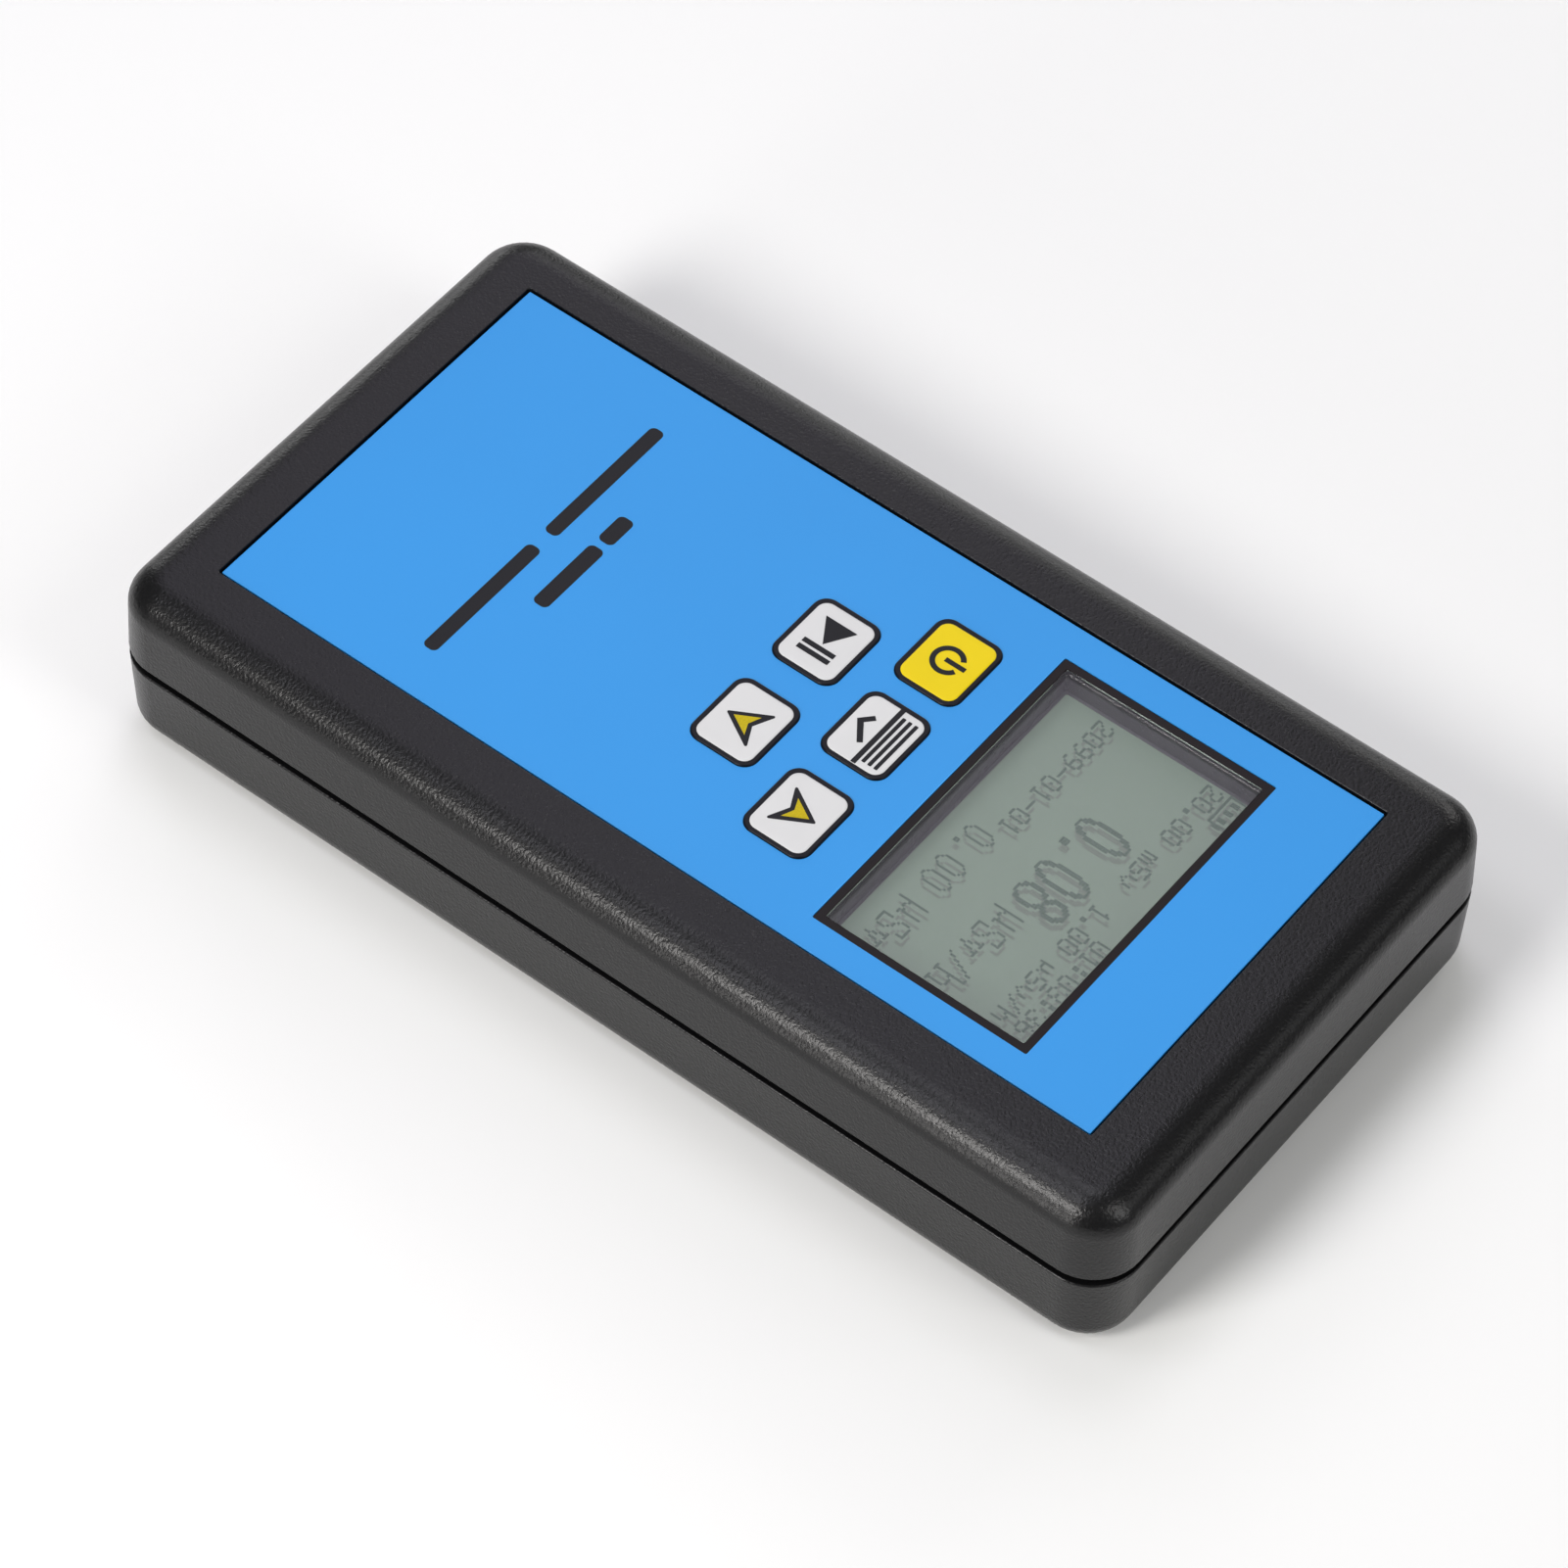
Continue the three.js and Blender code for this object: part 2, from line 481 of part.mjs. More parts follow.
function boardParts() {
  place('main_board', boardPlate(), boardGreen);
  place('geiger_tube', geigerTube(), tubeGlass, TUBE.x, TUBE.low, TUBE.z);
  place('tube_clip_lower', tubeClip(), tinned, TUBE.x, TUBE.low + CLIP.inset);
  place('tube_clip_upper', tubeClip(), tinned, TUBE.x, TUBE.high - CLIP.inset);
  place('transformer', transformer(), ferrite, TRANSFORMER.x, TRANSFORMER.y);
  place('reservoir_capacitor', post(CAPACITOR.radius, UNDER_BOARD - CAPACITOR.height, UNDER_BOARD),
    capBlue, CAPACITOR.x, CAPACITOR.y);
  place('microcontroller', plate(CONTROLLER.size, CONTROLLER.size, 0.6,
    UNDER_BOARD - CONTROLLER.height, UNDER_BOARD), chipBlack, CONTROLLER.x, CONTROLLER.y);
  place('buzzer', buzzer(), rubberBlack, BUZZER.x, BUZZER.y);
  place('clock_cell', post(CLOCK_CELL.radius, UNDER_BOARD - CLOCK_CELL.height, UNDER_BOARD - PART_GAP,
    0, 0, 20), tinned, CLOCK_CELL.x, CLOCK_CELL.y);
  place('clock_crystal', block(-CRYSTAL.halfWidth, CRYSTAL.halfWidth,
    -CRYSTAL.halfLength, CRYSTAL.halfLength, UNDER_BOARD - CRYSTAL.height, UNDER_BOARD),
  tinned, CRYSTAL.x, CRYSTAL.y);
  const { headRadius, headHeight, shankRadius, tip } = BOARD_SCREW;
  const head = BOARD.bottom - FINE_GAP;
  const end = FRONT_INNER_Z - 4;
  const profile = [[0, head - headHeight], [headRadius, head - headHeight], [headRadius, head],
    [shankRadius, head], [shankRadius, end], [0, end + tip]];
  BOARD_SCREWS.forEach(([x, y], i) => {
    place(`board_screw_${i + 1}`, turned(profile, 8), tinned, x, y);
  });
}

// ---- battery bay ----

function cell() {
  const shoulder = CELL.length - CELL.nubLength;
  const profile = [[0, 0], [CELL.radius - 0.5, 0], [CELL.radius, 0.5], [CELL.radius, shoulder - 0.5],
    [CELL.radius - 0.5, shoulder], [CELL.nubRadius, shoulder], [CELL.nubRadius, CELL.length],
    [0, CELL.length]];
  return turned(profile, 18);
}

class ConeHelix extends THREE.Curve {
  constructor(wide, narrow, length, turns) {
    super();
    Object.assign(this, { wide, narrow, length, turns });
  }

  getPoint(t, target = new THREE.Vector3()) {
    const radius = this.wide + (this.narrow - this.wide) * t;
    const angle = 2 * Math.PI * this.turns * t;
    return target.set(radius * Math.cos(angle), this.length * t, radius * Math.sin(angle));
  }
}

// A conical contact spring, wide at its plate and narrow at the cell.
function contactSpring(length) {
  const section = new THREE.Shape().absarc(0, 0, SPRING.wire, 0, 2 * Math.PI, false);
  return new THREE.ExtrudeGeometry(section, {
    steps: 35,
    curveSegments: 3,
    extrudePath: new ConeHelix(SPRING.wide, SPRING.narrow, length, SPRING.turns),
  });
}

function contactPlate(halfWidth) {
  const half = CONTACT.thickness / 2;
  return block(-halfWidth, halfWidth, -half, half, CONTACT.low, CONTACT.high);
}

// A contact plate with a tab that passes through the bay's wall.
function terminal() {
  const { halfWidth, low, high, length } = CONTACT_TAB;
  const tab = block(-halfWidth, halfWidth, 0, length, low, high);
  return surface(joined(contactPlate(CONTACT.halfWidth), tab));
}

function batteryParts() {
  const left = -CELL.pitch / 2;
  const right = CELL.pitch / 2;
  const terminalY = BAY.high - CONTACT.thickness;
  const bridgeY = BAY.low + CONTACT.thickness;
  const rest = CONTACT.thickness / 2 + GAP;          // from a plate's middle to a cell's nub
  const springStart = CONTACT.thickness / 2 + 2 * SPRING.wire;
  const springLength = terminalY - bridgeY - CELL.length - 2.4;

  place('cell_1', cell().rotateX(-Math.PI / 2), cellJacket, left, terminalY - rest - CELL.length, CELL.z);
  place('cell_2', cell().rotateX(Math.PI / 2), cellJacket, right, bridgeY + rest + CELL.length, CELL.z);
  place('contact_bridge', contactPlate(CONTACT.bridgeHalfWidth), springSteel, 0, bridgeY);
  place('contact_positive', terminal(), springSteel, left, terminalY);
  place('contact_negative', terminal(), springSteel, right, terminalY);
  place('spring_bridge', contactSpring(springLength), springSteel, left, bridgeY + springStart, CELL.z);
  place('spring_negative', contactSpring(springLength).rotateZ(Math.PI), springSteel,
    right, terminalY - springStart, CELL.z);
}

caseParts();
frontParts();
displayParts();
boardParts();
batteryParts();

export default model;
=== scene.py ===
"""The looks of a handheld geiger counter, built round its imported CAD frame."""
import math

import bpy
from mathutils import Matrix, Vector


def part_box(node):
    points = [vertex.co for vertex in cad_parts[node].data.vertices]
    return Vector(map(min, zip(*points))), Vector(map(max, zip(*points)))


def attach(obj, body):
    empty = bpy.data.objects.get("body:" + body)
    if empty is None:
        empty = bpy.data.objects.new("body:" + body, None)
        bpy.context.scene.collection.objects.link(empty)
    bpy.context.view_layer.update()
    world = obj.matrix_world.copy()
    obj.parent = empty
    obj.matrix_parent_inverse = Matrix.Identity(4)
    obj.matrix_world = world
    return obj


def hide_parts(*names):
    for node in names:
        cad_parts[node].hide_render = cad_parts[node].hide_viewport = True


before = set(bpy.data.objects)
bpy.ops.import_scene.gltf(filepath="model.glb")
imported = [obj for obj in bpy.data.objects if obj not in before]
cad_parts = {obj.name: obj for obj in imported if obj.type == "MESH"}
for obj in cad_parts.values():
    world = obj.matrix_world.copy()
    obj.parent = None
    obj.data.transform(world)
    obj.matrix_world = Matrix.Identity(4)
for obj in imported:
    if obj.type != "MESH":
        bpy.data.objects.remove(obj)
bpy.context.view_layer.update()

# Every size below is in millimetres. make() turns a finished outline into metres.
MM = 0.001


def node_box(name):
    """The lowest and highest corners of a CAD node."""
    low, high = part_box(name)
    return low / MM, high / MM


def node_middle(name):
    """The middle of a CAD node, seen from the front."""
    low, high = node_box(name)
    return (low.x + high.x) / 2, (low.y + high.y) / 2


# ---- driving dimensions ----

CASE_LOW, CASE_HIGH = node_box("rear_shell")
WIDTH = CASE_HIGH.x - CASE_LOW.x
LENGTH = CASE_HIGH.y - CASE_LOW.y
HEIGHT = node_box("front_shell")[1].z
CORNER = 6.9                     # radius of the case's upright corners
WALL = 2.2
FRONT_DRAFT = 0.33               # how far a side leans in by its fillet
REAR_DRAFT = 0.3
FRONT_FILLET = (4.9, 3.9)        # across and down
REAR_FILLET = (3.9, 3.7)
FRONT_INNER_Z = 23.1             # underside of the front wall

SEAM_Z = 13.7                    # middle of the groove between the shells
SEAM_GAP = 1.3
SEAM_DEPTH = 1.2                 # how far the dark groove goes in
SEAM_EDGE = 0.25                 # rounding of the two rims at the seam
TONGUE_TOP = 16.3                # the rear shell's tongue, inside the front shell
TONGUE_PLAY = 0.15
TONGUE_HEADROOM = 0.3
TONGUE_CHAMFER = (0.15, 0.3)     # across and down

FILM_LOW, FILM_HIGH = node_box("front_overlay")
FILM_X, FILM_Y = node_middle("front_overlay")
FILM_WIDTH = FILM_HIGH.x - FILM_LOW.x
FILM_LENGTH = FILM_HIGH.y - FILM_LOW.y
FILM_TOP = FILM_HIGH.z
FILM_CORNER = 0.2
FILM_EDGE = 0.1
FILM_KEY_GAP = 0.05              # between a key and the film round it
RECESS_MARGIN = 0.32             # gap round the film
RECESS_CORNER = 0.4
RECESS_EDGE = 0.12               # rounding of the recess's rim
RECESS_FLOOR = FILM_LOW.z - 0.15

PANE_LOW, PANE_HIGH = node_box("window_lens")
WINDOW_X, WINDOW_Y = node_middle("window_lens")
WINDOW_WIDTH = PANE_HIGH.x - PANE_LOW.x
WINDOW_LENGTH = PANE_HIGH.y - PANE_LOW.y
WINDOW_BORDER = 1.15             # width of the black frame round the opening
CLEAR_WIDTH = WINDOW_WIDTH - 2 * WINDOW_BORDER
CLEAR_LENGTH = WINDOW_LENGTH - 2 * WINDOW_BORDER
CLEAR_CORNER = 0.3
BORDER_TOP = node_box("window_border")[1].z
BORDER_CORNER = 0.25
BORDER_EDGE = 0.05
PANE_CORNER = 0.4
PANE_EDGE = 0.1
STEP_RISE = 0.3                  # the pane's step starts this far over its underside
STEP_DROP = 0.04                 # and ends this far under the border's top
STEP_EDGE = 0.04
REBATE_PLAY = 0.3                # what the shell's rebate is wider than the pane
REBATE_CORNER = 0.6
WINDOW_FIT = 0.06                # what the border and the pane's step are smaller than their holes
GLASS_TOP = node_box("display_glass")[1].z
LEDGE_Z = PANE_LOW.z - 0.15      # the ledge that the pane rests on
LEDGE_EDGE = 0.4
WELL_CORNER = 0.4

BOARD_TOP = node_box("main_board")[1].z
SCREW_X = 31.0                   # the four case screws
SCREW_Y = 66.0
CORNERS = ((-1, 1), (1, 1), (-1, -1), (1, -1))

KEY_WIDTH = 11.6
KEY_LENGTH = 9.8
KEY_CORNER = 2.0
KEY_GAP = 0.25                   # between a key and the hole in the shell
KEY_TOP = node_box("key_power")[1].z
KEY_NAMES = ["power", "menu", "up", "play", "down"]
RIM_DROP = 0.14                  # the black rim lies this far under the key's top
RIM_EDGE = 0.22
RIM_SHOWN = (1.38, 1.4)          # what the face is narrower and shorter than the key
FACE_SHIFT = (0.08, 0.05)        # the face is not quite in the middle of the key
FACE_CORNER = KEY_CORNER - 0.55
FACE_EDGE = (0.45, 0.12)         # rounding of a key's face, across and down
FACE_SINK = 0.04                 # the face lies this far under the icons' tops
FACE_DEPTH = 0.4
FLANGE_LOW = 21.9                # the flange that holds a key under the front wall
FLANGE_THICKNESS = 1.0
STEM_RADIUS = 1.9
STEM_TOP = FLANGE_LOW + 0.2      # the stem ends inside the flange

# Straight pieces in a quarter of a round, or in a whole circle for the last two.
CORNER_STEPS = 10
FILLET_STEPS = 10
RIM_STEPS = 3
LEDGE_STEPS = 4
FACE_STEPS = 6
KEY_HOLE_STEPS = 6
FILM_HOLE_STEPS = 8
HOLE_STEPS = 16
STEM_STEPS = 24

OVERLAP = 0.4                    # how far joined solids run into each other
CUT_OVER = 2.0                   # how far a cutting tool stands out of the front wall
UNDER_CASE = -1.0                # where a tool that cuts the rear wall starts
UNDER_SEAM = 10.0                # where a tool that cuts the whole front shell starts
FILM_CUT = (20, 30)              # heights under and over the film and its border

# ---- outlines ----


def rounded_rect(width, length, radius, x=0.0, y=0.0, steps=CORNER_STEPS):
    """Points of a rectangle with round corners, counter-clockwise."""
    points = []
    for turn, (sx, sy) in enumerate(((1, 1), (-1, 1), (-1, -1), (1, -1))):
        cx = x + sx * (width / 2 - radius)
        cy = y + sy * (length / 2 - radius)
        for i in range(steps + 1):
            angle = math.pi / 2 * (turn + i / steps)
            points.append((cx + radius * math.cos(angle), cy + radius * math.sin(angle)))
    return points


def window_rect(width, length, radius, steps=4):
    return rounded_rect(width, length, radius, WINDOW_X, WINDOW_Y, steps)


def key_outline(gap, x, y, steps):
    """A key's outline, wider by a gap all round."""
    return rounded_rect(KEY_WIDTH + 2 * gap, KEY_LENGTH + 2 * gap, KEY_CORNER + gap, x, y, steps)


def circle(radius, x, y, steps=32):
    turn = 2 * math.pi / steps
    return [(x + radius * math.cos(turn * i), y + radius * math.sin(turn * i)) for i in range(steps)]


def at_height(outline, z):
    return [(x, y, z) for x, y in outline]


def case_ring(inset, z):
    outline = rounded_rect(WIDTH - 2 * inset, LENGTH - 2 * inset, CORNER - inset)
    return at_height(outline, z)


def quarter_turn(steps):
    """The angles of a quarter of a circle, from 0 to a right angle."""
    return [math.pi / 2 * i / steps for i in range(steps + 1)]


# ---- meshes ----

SMOOTH_ANGLE = math.radians(35)  # an edge that turns more than this stays sharp
BEVEL_ANGLE = math.radians(50)
BEVEL_SEGMENTS = 2


def make(name, vertices, faces):
    mesh = bpy.data.meshes.new(name)
    mesh.from_pydata([Vector(v) * MM for v in vertices], [], faces)
    mesh.validate()
    piece = bpy.data.objects.new(name, mesh)
    bpy.context.scene.collection.objects.link(piece)
    return piece


def loft(name, rings):
    """A closed skin over rings of equally many points, capped at both ends."""
    count = len(rings[0])
    vertices = [v for ring in rings for v in ring]
    faces = [tuple(reversed(range(count)))]
    for r in range(len(rings) - 1):
        a, b = r * count, (r + 1) * count
        for i in range(count):
            j = (i + 1) % count
            faces.append((a + i, a + j, b + j, b + i))
    last = (len(rings) - 1) * count
    faces.append(tuple(range(last, last + count)))
    return make(name, vertices, faces)


def prism(name, outline, low, high):
    return loft(name, [at_height(outline, low), at_height(outline, high)])


def box_piece(name, low, high):
    (x0, y0, z0), (x1, y1, z1) = low, high
    return prism(name, [(x0, y0), (x1, y0), (x1, y1), (x0, y1)], z0, z1)


def pillow(name, width, length, radius, low, high, edge, x=0.0, y=0.0, steps=4):
    """A plate whose upper rim is rounded over by edge."""
    rings = [at_height(rounded_rect(width, length, radius, x, y), low)]
    for angle in quarter_turn(steps):
        inset = edge * (1 - math.cos(angle))
        outline = rounded_rect(width - 2 * inset, length - 2 * inset, radius - inset, x, y)
        rings.append(at_height(outline, high - edge + edge * math.sin(angle)))
    return loft(name, rings)


def apply_modifiers(piece):
    graph = bpy.context.evaluated_depsgraph_get()
    mesh = bpy.data.meshes.new_from_object(piece.evaluated_get(graph))
    old = piece.data
    piece.modifiers.clear()
    piece.data = mesh
    bpy.data.meshes.remove(old)
    return piece


def boolean(piece, tools, operation):
    for tool in tools:
        modifier = piece.modifiers.new("boolean", "BOOLEAN")
        modifier.operation = operation
        modifier.solver = "EXACT"
        modifier.object = tool
        apply_modifiers(piece)
        mesh = tool.data
        bpy.data.objects.remove(tool)
        bpy.data.meshes.remove(mesh)
    return piece


def cut(piece, *tools):
    return boolean(piece, tools, "DIFFERENCE")


def join(piece, *tools):
    return boolean(piece, tools, "UNION")


def soften(piece, width):
    """Rounds the piece's sharp edges by a real bevel."""
    modifier = piece.modifiers.new("bevel", "BEVEL")
    modifier.width = width * MM
    modifier.segments = BEVEL_SEGMENTS
    modifier.limit_method = "ANGLE"
    modifier.angle_limit = BEVEL_ANGLE
    modifier.use_clamp_overlap = True
    return apply_modifiers(piece)


def smooth(piece):
    mesh = piece.data
    mesh.shade_smooth()
    mesh.set_sharp_from_angle(angle=SMOOTH_ANGLE)
    modifier = piece.modifiers.new("weighted", "WEIGHTED_NORMAL")
    modifier.keep_sharp = True
    return piece


def dress(piece, material, body="root", replaces=None):
    """Gives a finished piece its material and its body, and hides the CAD node it stands for."""
    piece.data.materials.clear()
    piece.data.materials.append(material)
    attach(piece, body)
    if replaces:
        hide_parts(replaces)
    return piece


# ---- materials ----

NOISE_LOW, NOISE_HIGH = 0.3, 0.7     # most of a noise's values lie between these
DISPLAY_PAINTED_GLOW = 1.62                     # painted glow of the display, against its colour: it stands in for light reaching the display evenly and hides the well's shade


class Recipe:
    """A node material with one Principled shader, and short ways to add texture to it."""

    def __init__(self, name, color, roughness, metallic=0.0, ior=None):
        self.material = bpy.data.materials.new(name)
        self.material.use_nodes = True
        self.tree = self.material.node_tree
        self.shader = self.tree.nodes["Principled BSDF"]
        self.shader.inputs["Base Color"].default_value = (*color, 1)
        self.shader.inputs["Roughness"].default_value = roughness
        self.shader.inputs["Metallic"].default_value = metallic
        if ior:
            self.shader.inputs["IOR"].default_value = ior
        self.place = self.node("ShaderNodeTexCoord").outputs["Object"]

    def node(self, kind):
        return self.tree.nodes.new(kind)

    def link(self, a, b):
        self.tree.links.new(a, b)

    def noise(self, scale, detail=3.0):
        """Noise in the object's own space; scale is in patches per metre."""
        made = self.node("ShaderNodeTexNoise")
        made.inputs["Scale"].default_value = scale
        made.inputs["Detail"].default_value = detail
        self.link(self.place, made.inputs["Vector"])
        return made.outputs["Fac"]

    def tint(self, fac, first, second, start=NOISE_LOW, end=NOISE_HIGH):
        """Base colour running from first to second with fac."""
        ramp = self.node("ShaderNodeValToRGB")
        for element, position, color in zip(ramp.color_ramp.elements, (start, end), (first, second)):
            element.position = position
            element.color = (*color, 1)
        self.link(fac, ramp.inputs["Fac"])
        self.link(ramp.outputs["Color"], self.shader.inputs["Base Color"])

    def gloss(self, fac, low, high):
        """Roughness running from low to high with fac."""
        made = self.node("ShaderNodeMapRange")
        self.link(fac, made.inputs["Value"])
        values = (("From Min", NOISE_LOW), ("From Max", NOISE_HIGH), ("To Min", low), ("To Max", high))
        for key, value in values:
            made.inputs[key].default_value = value
        self.link(made.outputs["Result"], self.shader.inputs["Roughness"])

    def glow(self, color, strength):
        self.shader.inputs["Emission Color"].default_value = (*color, 1)
        self.shader.inputs["Emission Strength"].default_value = strength

    def bump(self, height, strength, depth):
        made = self.node("ShaderNodeBump")
        made.inputs["Strength"].default_value = strength
        made.inputs["Distance"].default_value = depth * MM
        self.link(height, made.inputs["Height"])
        self.link(made.outputs["Normal"], self.shader.inputs["Normal"])


def shade(color, factor):
    return tuple(c * factor for c in color)


def case_plastic():
    """Black ABS with a fine spark-eroded grain."""
    look = Recipe("case_plastic", (0.0047, 0.0047, 0.0051), 0.33, ior=1.41)
    grain = look.noise(2600, 1.5)
    patches = look.noise(60, 4.0)
    look.tint(patches, (0.0043, 0.0043, 0.0047), (0.005, 0.005, 0.0054))
    look.gloss(grain, 0.27, 0.33)
    look.bump(grain, strength=1.0, depth=0.06)
    return look.material


def film_blue():
    """Printed polycarbonate film with a velvet surface."""
    blue = (0.022, 0.30, 0.765)
    look = Recipe("film_blue", blue, 0.45)
    patches = look.noise(25, 3.0)
    grain = look.noise(5200, 2.0)
    look.tint(patches, shade(blue, 0.985), shade(blue, 1.015))
    look.gloss(grain, 0.42, 0.52)
    look.bump(grain, strength=0.10, depth=0.02)
    return look.material


def key_plastic(name, color):
    """The printed face of a key."""
    look = Recipe(name, color, 0.45, ior=1.33)
    grain = look.noise(3800, 2.0)
    patches = look.noise(200, 3.0)
    look.tint(patches, shade(color, 0.97), color)
    look.gloss(grain, 0.38, 0.5)
    look.bump(grain, strength=0.15, depth=0.02)
    return look.material


def ink(name, color, glow=0.0):
    """Matt print; the display's dots take its painted glow."""
    look = Recipe(name, color, 0.5, ior=1.3)
    look.glow(color, glow)
    grain = look.noise(4500, 2.0)
    look.tint(grain, shade(color, 0.9), shade(color, 1.1))
    look.gloss(grain, 0.44, 0.56)
    return look.material


def pane_clear():
    """Clear acrylic."""
    look = Recipe("pane_clear", (1.0, 1.0, 1.0), 0.02, ior=1.45)
    look.shader.inputs["Transmission Weight"].default_value = 1.0
    look.gloss(look.noise(300), 0.01, 0.04)
    return look.material


def display_back():
    """The grey-green reflector behind the dots, with a dim painted glow that stands in for light
    reaching it evenly.
    """
    green = (0.046, 0.064, 0.049)
    look = Recipe("display_back", green, 0.5)
    # painted glow: keeps the display evenly lit, without shade from the well's walls
    look.glow(green, DISPLAY_PAINTED_GLOW)
    patches = look.noise(40, 2.0)
    grain = look.noise(6000, 1.0)
    look.tint(patches, shade(green, 0.97), shade(green, 1.03))
    look.gloss(grain, 0.45, 0.55)
    return look.material


def metal(name, color, roughness, metallic=1.0):
    look = Recipe(name, color, roughness, metallic)
    grain = look.noise(900, 4.0)
    look.tint(grain, shade(color, 0.88), shade(color, 1.08))
    look.gloss(grain, roughness - 0.07, roughness + 0.09)
    look.bump(grain, strength=0.12, depth=0.02)
    return look.material


def moulded(name, color, roughness=0.5, scale=2400, ior=1.5):
    look = Recipe(name, color, roughness, ior=ior)
    grain = look.noise(scale)
    look.tint(grain, shade(color, 0.85), shade(color, 1.15))
    look.gloss(grain, roughness - 0.07, roughness + 0.07)
    look.bump(grain, strength=0.18, depth=0.03)
    return look.material


def board_mask():
    """Green solder mask with faint traces under it."""
    green = (0.012, 0.12, 0.045)
    look = Recipe("board_mask", green, 0.35)
    traces = look.node("ShaderNodeTexBrick")
    traces.inputs["Scale"].default_value = 260
    traces.inputs["Mortar Size"].default_value = 0.03
    look.link(look.place, traces.inputs["Vector"])
    look.tint(traces.outputs["Fac"], green, (0.03, 0.2, 0.08), 0.2, 0.8)
    look.gloss(look.noise(1500), 0.3, 0.42)
    look.bump(traces.outputs["Fac"], strength=0.2, depth=0.03)
    return look.material


CASE = case_plastic()
FILM = film_blue()
KEY_WHITE = key_plastic("key_white", (0.708, 0.714, 0.712))
KEY_YELLOW = key_plastic("key_yellow", (0.84, 0.64, 0.0))
INK_BLACK = ink("ink_black", (0.012, 0.012, 0.015))
INK_YELLOW = ink("ink_yellow", (0.54, 0.42, 0.004))
RIM_BLACK = moulded("rim_black", (0.004, 0.004, 0.007), 0.35, 3500, 1.3)
BORDER = moulded("border_black", (0.009, 0.006, 0.007), 0.45, 3500, 1.3)
MASK = moulded("display_mask", (0.04, 0.041, 0.045), 0.4, 3500, 1.4)
PANE = pane_clear()
REFLECTOR = display_back()
# The dots and the painted shadow of the dots below them both take the display's painted glow.
DOT = ink("dot_grey", (0.018, 0.029, 0.022), DISPLAY_PAINTED_GLOW)
DOT_PAINTED_SHADOW = ink("dot_painted_shadow", (0.041, 0.051, 0.042), DISPLAY_PAINTED_GLOW)
SCREW = metal("screw_zinc", (0.36, 0.36, 0.37), 0.35)

# ---- case ----

FLAT_HOLD = 0.3                  # a ring this far in keeps the flat front's shading flat
BOARD_SCREWS = ["board_screw_1", "board_screw_2", "board_screw_3", "board_screw_4"]
COLLAR_WALL = 2.0                # the wall round the window's well
COLLAR_CORNER = 1.0
COLLAR_LOW = GLASS_TOP + 0.2
CASE_BOSS = (3.5, 1.6)           # radii of a boss in the front shell and of its hole
CASE_HOLE = (SEAM_Z - 2, FRONT_INNER_Z - 1)   # where its tool starts and ends
BOARD_BOSS = (2.6, 1.25)
BOARD_HOLE = (BOARD_TOP - 1, FRONT_INNER_Z - 2)
BOARD_GAP = 0.2                  # between the board and the boss over it
REAR_BOSS = 3.8
BOSS_GAP = 0.3                   # between the two shells' bosses
SCREW_WELL = (3.1, 5.2)          # radius and depth
SCREW_HOLE = 1.7
REAR_HOLE = (SCREW_WELL[1] - 1.2, 20)


def fillet_rings(start, z, across, down, sign):
    """Rings over a rounded rim that starts at inset start and height z and ends on the flat."""
    rings = []
    for angle in quarter_turn(FILLET_STEPS)[1:]:
        inset = start + across * (1 - math.cos(angle))
        rings.append(case_ring(inset, z + sign * down * math.sin(angle)))
    return rings


def rim_rings(z, sign):
    """Rings over the small rounding at a seam rim; sign is the way the wall goes on."""
    rings = []
    for angle in quarter_turn(RIM_STEPS):
        inset = SEAM_EDGE * (1 - math.sin(angle))
        rings.append(case_ring(inset, z + sign * SEAM_EDGE * (1 - math.cos(angle))))
    return rings


def recess_rings():
    """Rings over the rounded rim of the film's recess and down to its floor."""
    rings = []
    for angle in quarter_turn(RIM_STEPS):
        margin = RECESS_MARGIN + RECESS_EDGE * (1 - math.sin(angle))
        width, length = FILM_WIDTH + 2 * margin, FILM_LENGTH + 2 * margin
        outline = rounded_rect(width, length, RECESS_CORNER, FILM_X, FILM_Y)
        rings.append(at_height(outline, HEIGHT - RECESS_EDGE * (1 - math.cos(angle))))
    rings.append([(x, y, RECESS_FLOOR) for x, y, _ in rings[-1]])
    return rings


def window_well():
    """The opening under the pane; its rim on the ledge is rounded over."""
    rings = [at_height(window_rect(CLEAR_WIDTH, CLEAR_LENGTH, WELL_CORNER), UNDER_SEAM)]
    for angle in quarter_turn(LEDGE_STEPS):
        grow = 2 * LEDGE_EDGE * (1 - math.cos(angle))
        outline = window_rect(CLEAR_WIDTH + grow, CLEAR_LENGTH + grow, WELL_CORNER + grow / 2)
        rings.append(at_height(outline, LEDGE_Z - LEDGE_EDGE * (1 - math.sin(angle))))
    rings.append([(x, y, HEIGHT + CUT_OVER) for x, y, _ in rings[-1]])
    return loft("well", rings)


def add_front_bosses(shell):
    """Bosses for the case screws and for the screws that hold the board."""
    boss, hole = CASE_BOSS
    for sx, sy in CORNERS:
        x, y = sx * SCREW_X, sy * SCREW_Y
        join(shell, prism("boss", circle(boss, x, y), SEAM_Z, FRONT_INNER_Z + OVERLAP))
        cut(shell, prism("hole", circle(hole, x, y, HOLE_STEPS), *CASE_HOLE))
    boss, hole = BOARD_BOSS
    for name in BOARD_SCREWS:
        x, y = node_middle(name)
        join(shell, prism("boss", circle(boss, x, y), BOARD_TOP + BOARD_GAP, FRONT_INNER_Z + OVERLAP))
        cut(shell, prism("hole", circle(hole, x, y, HOLE_STEPS), *BOARD_HOLE))


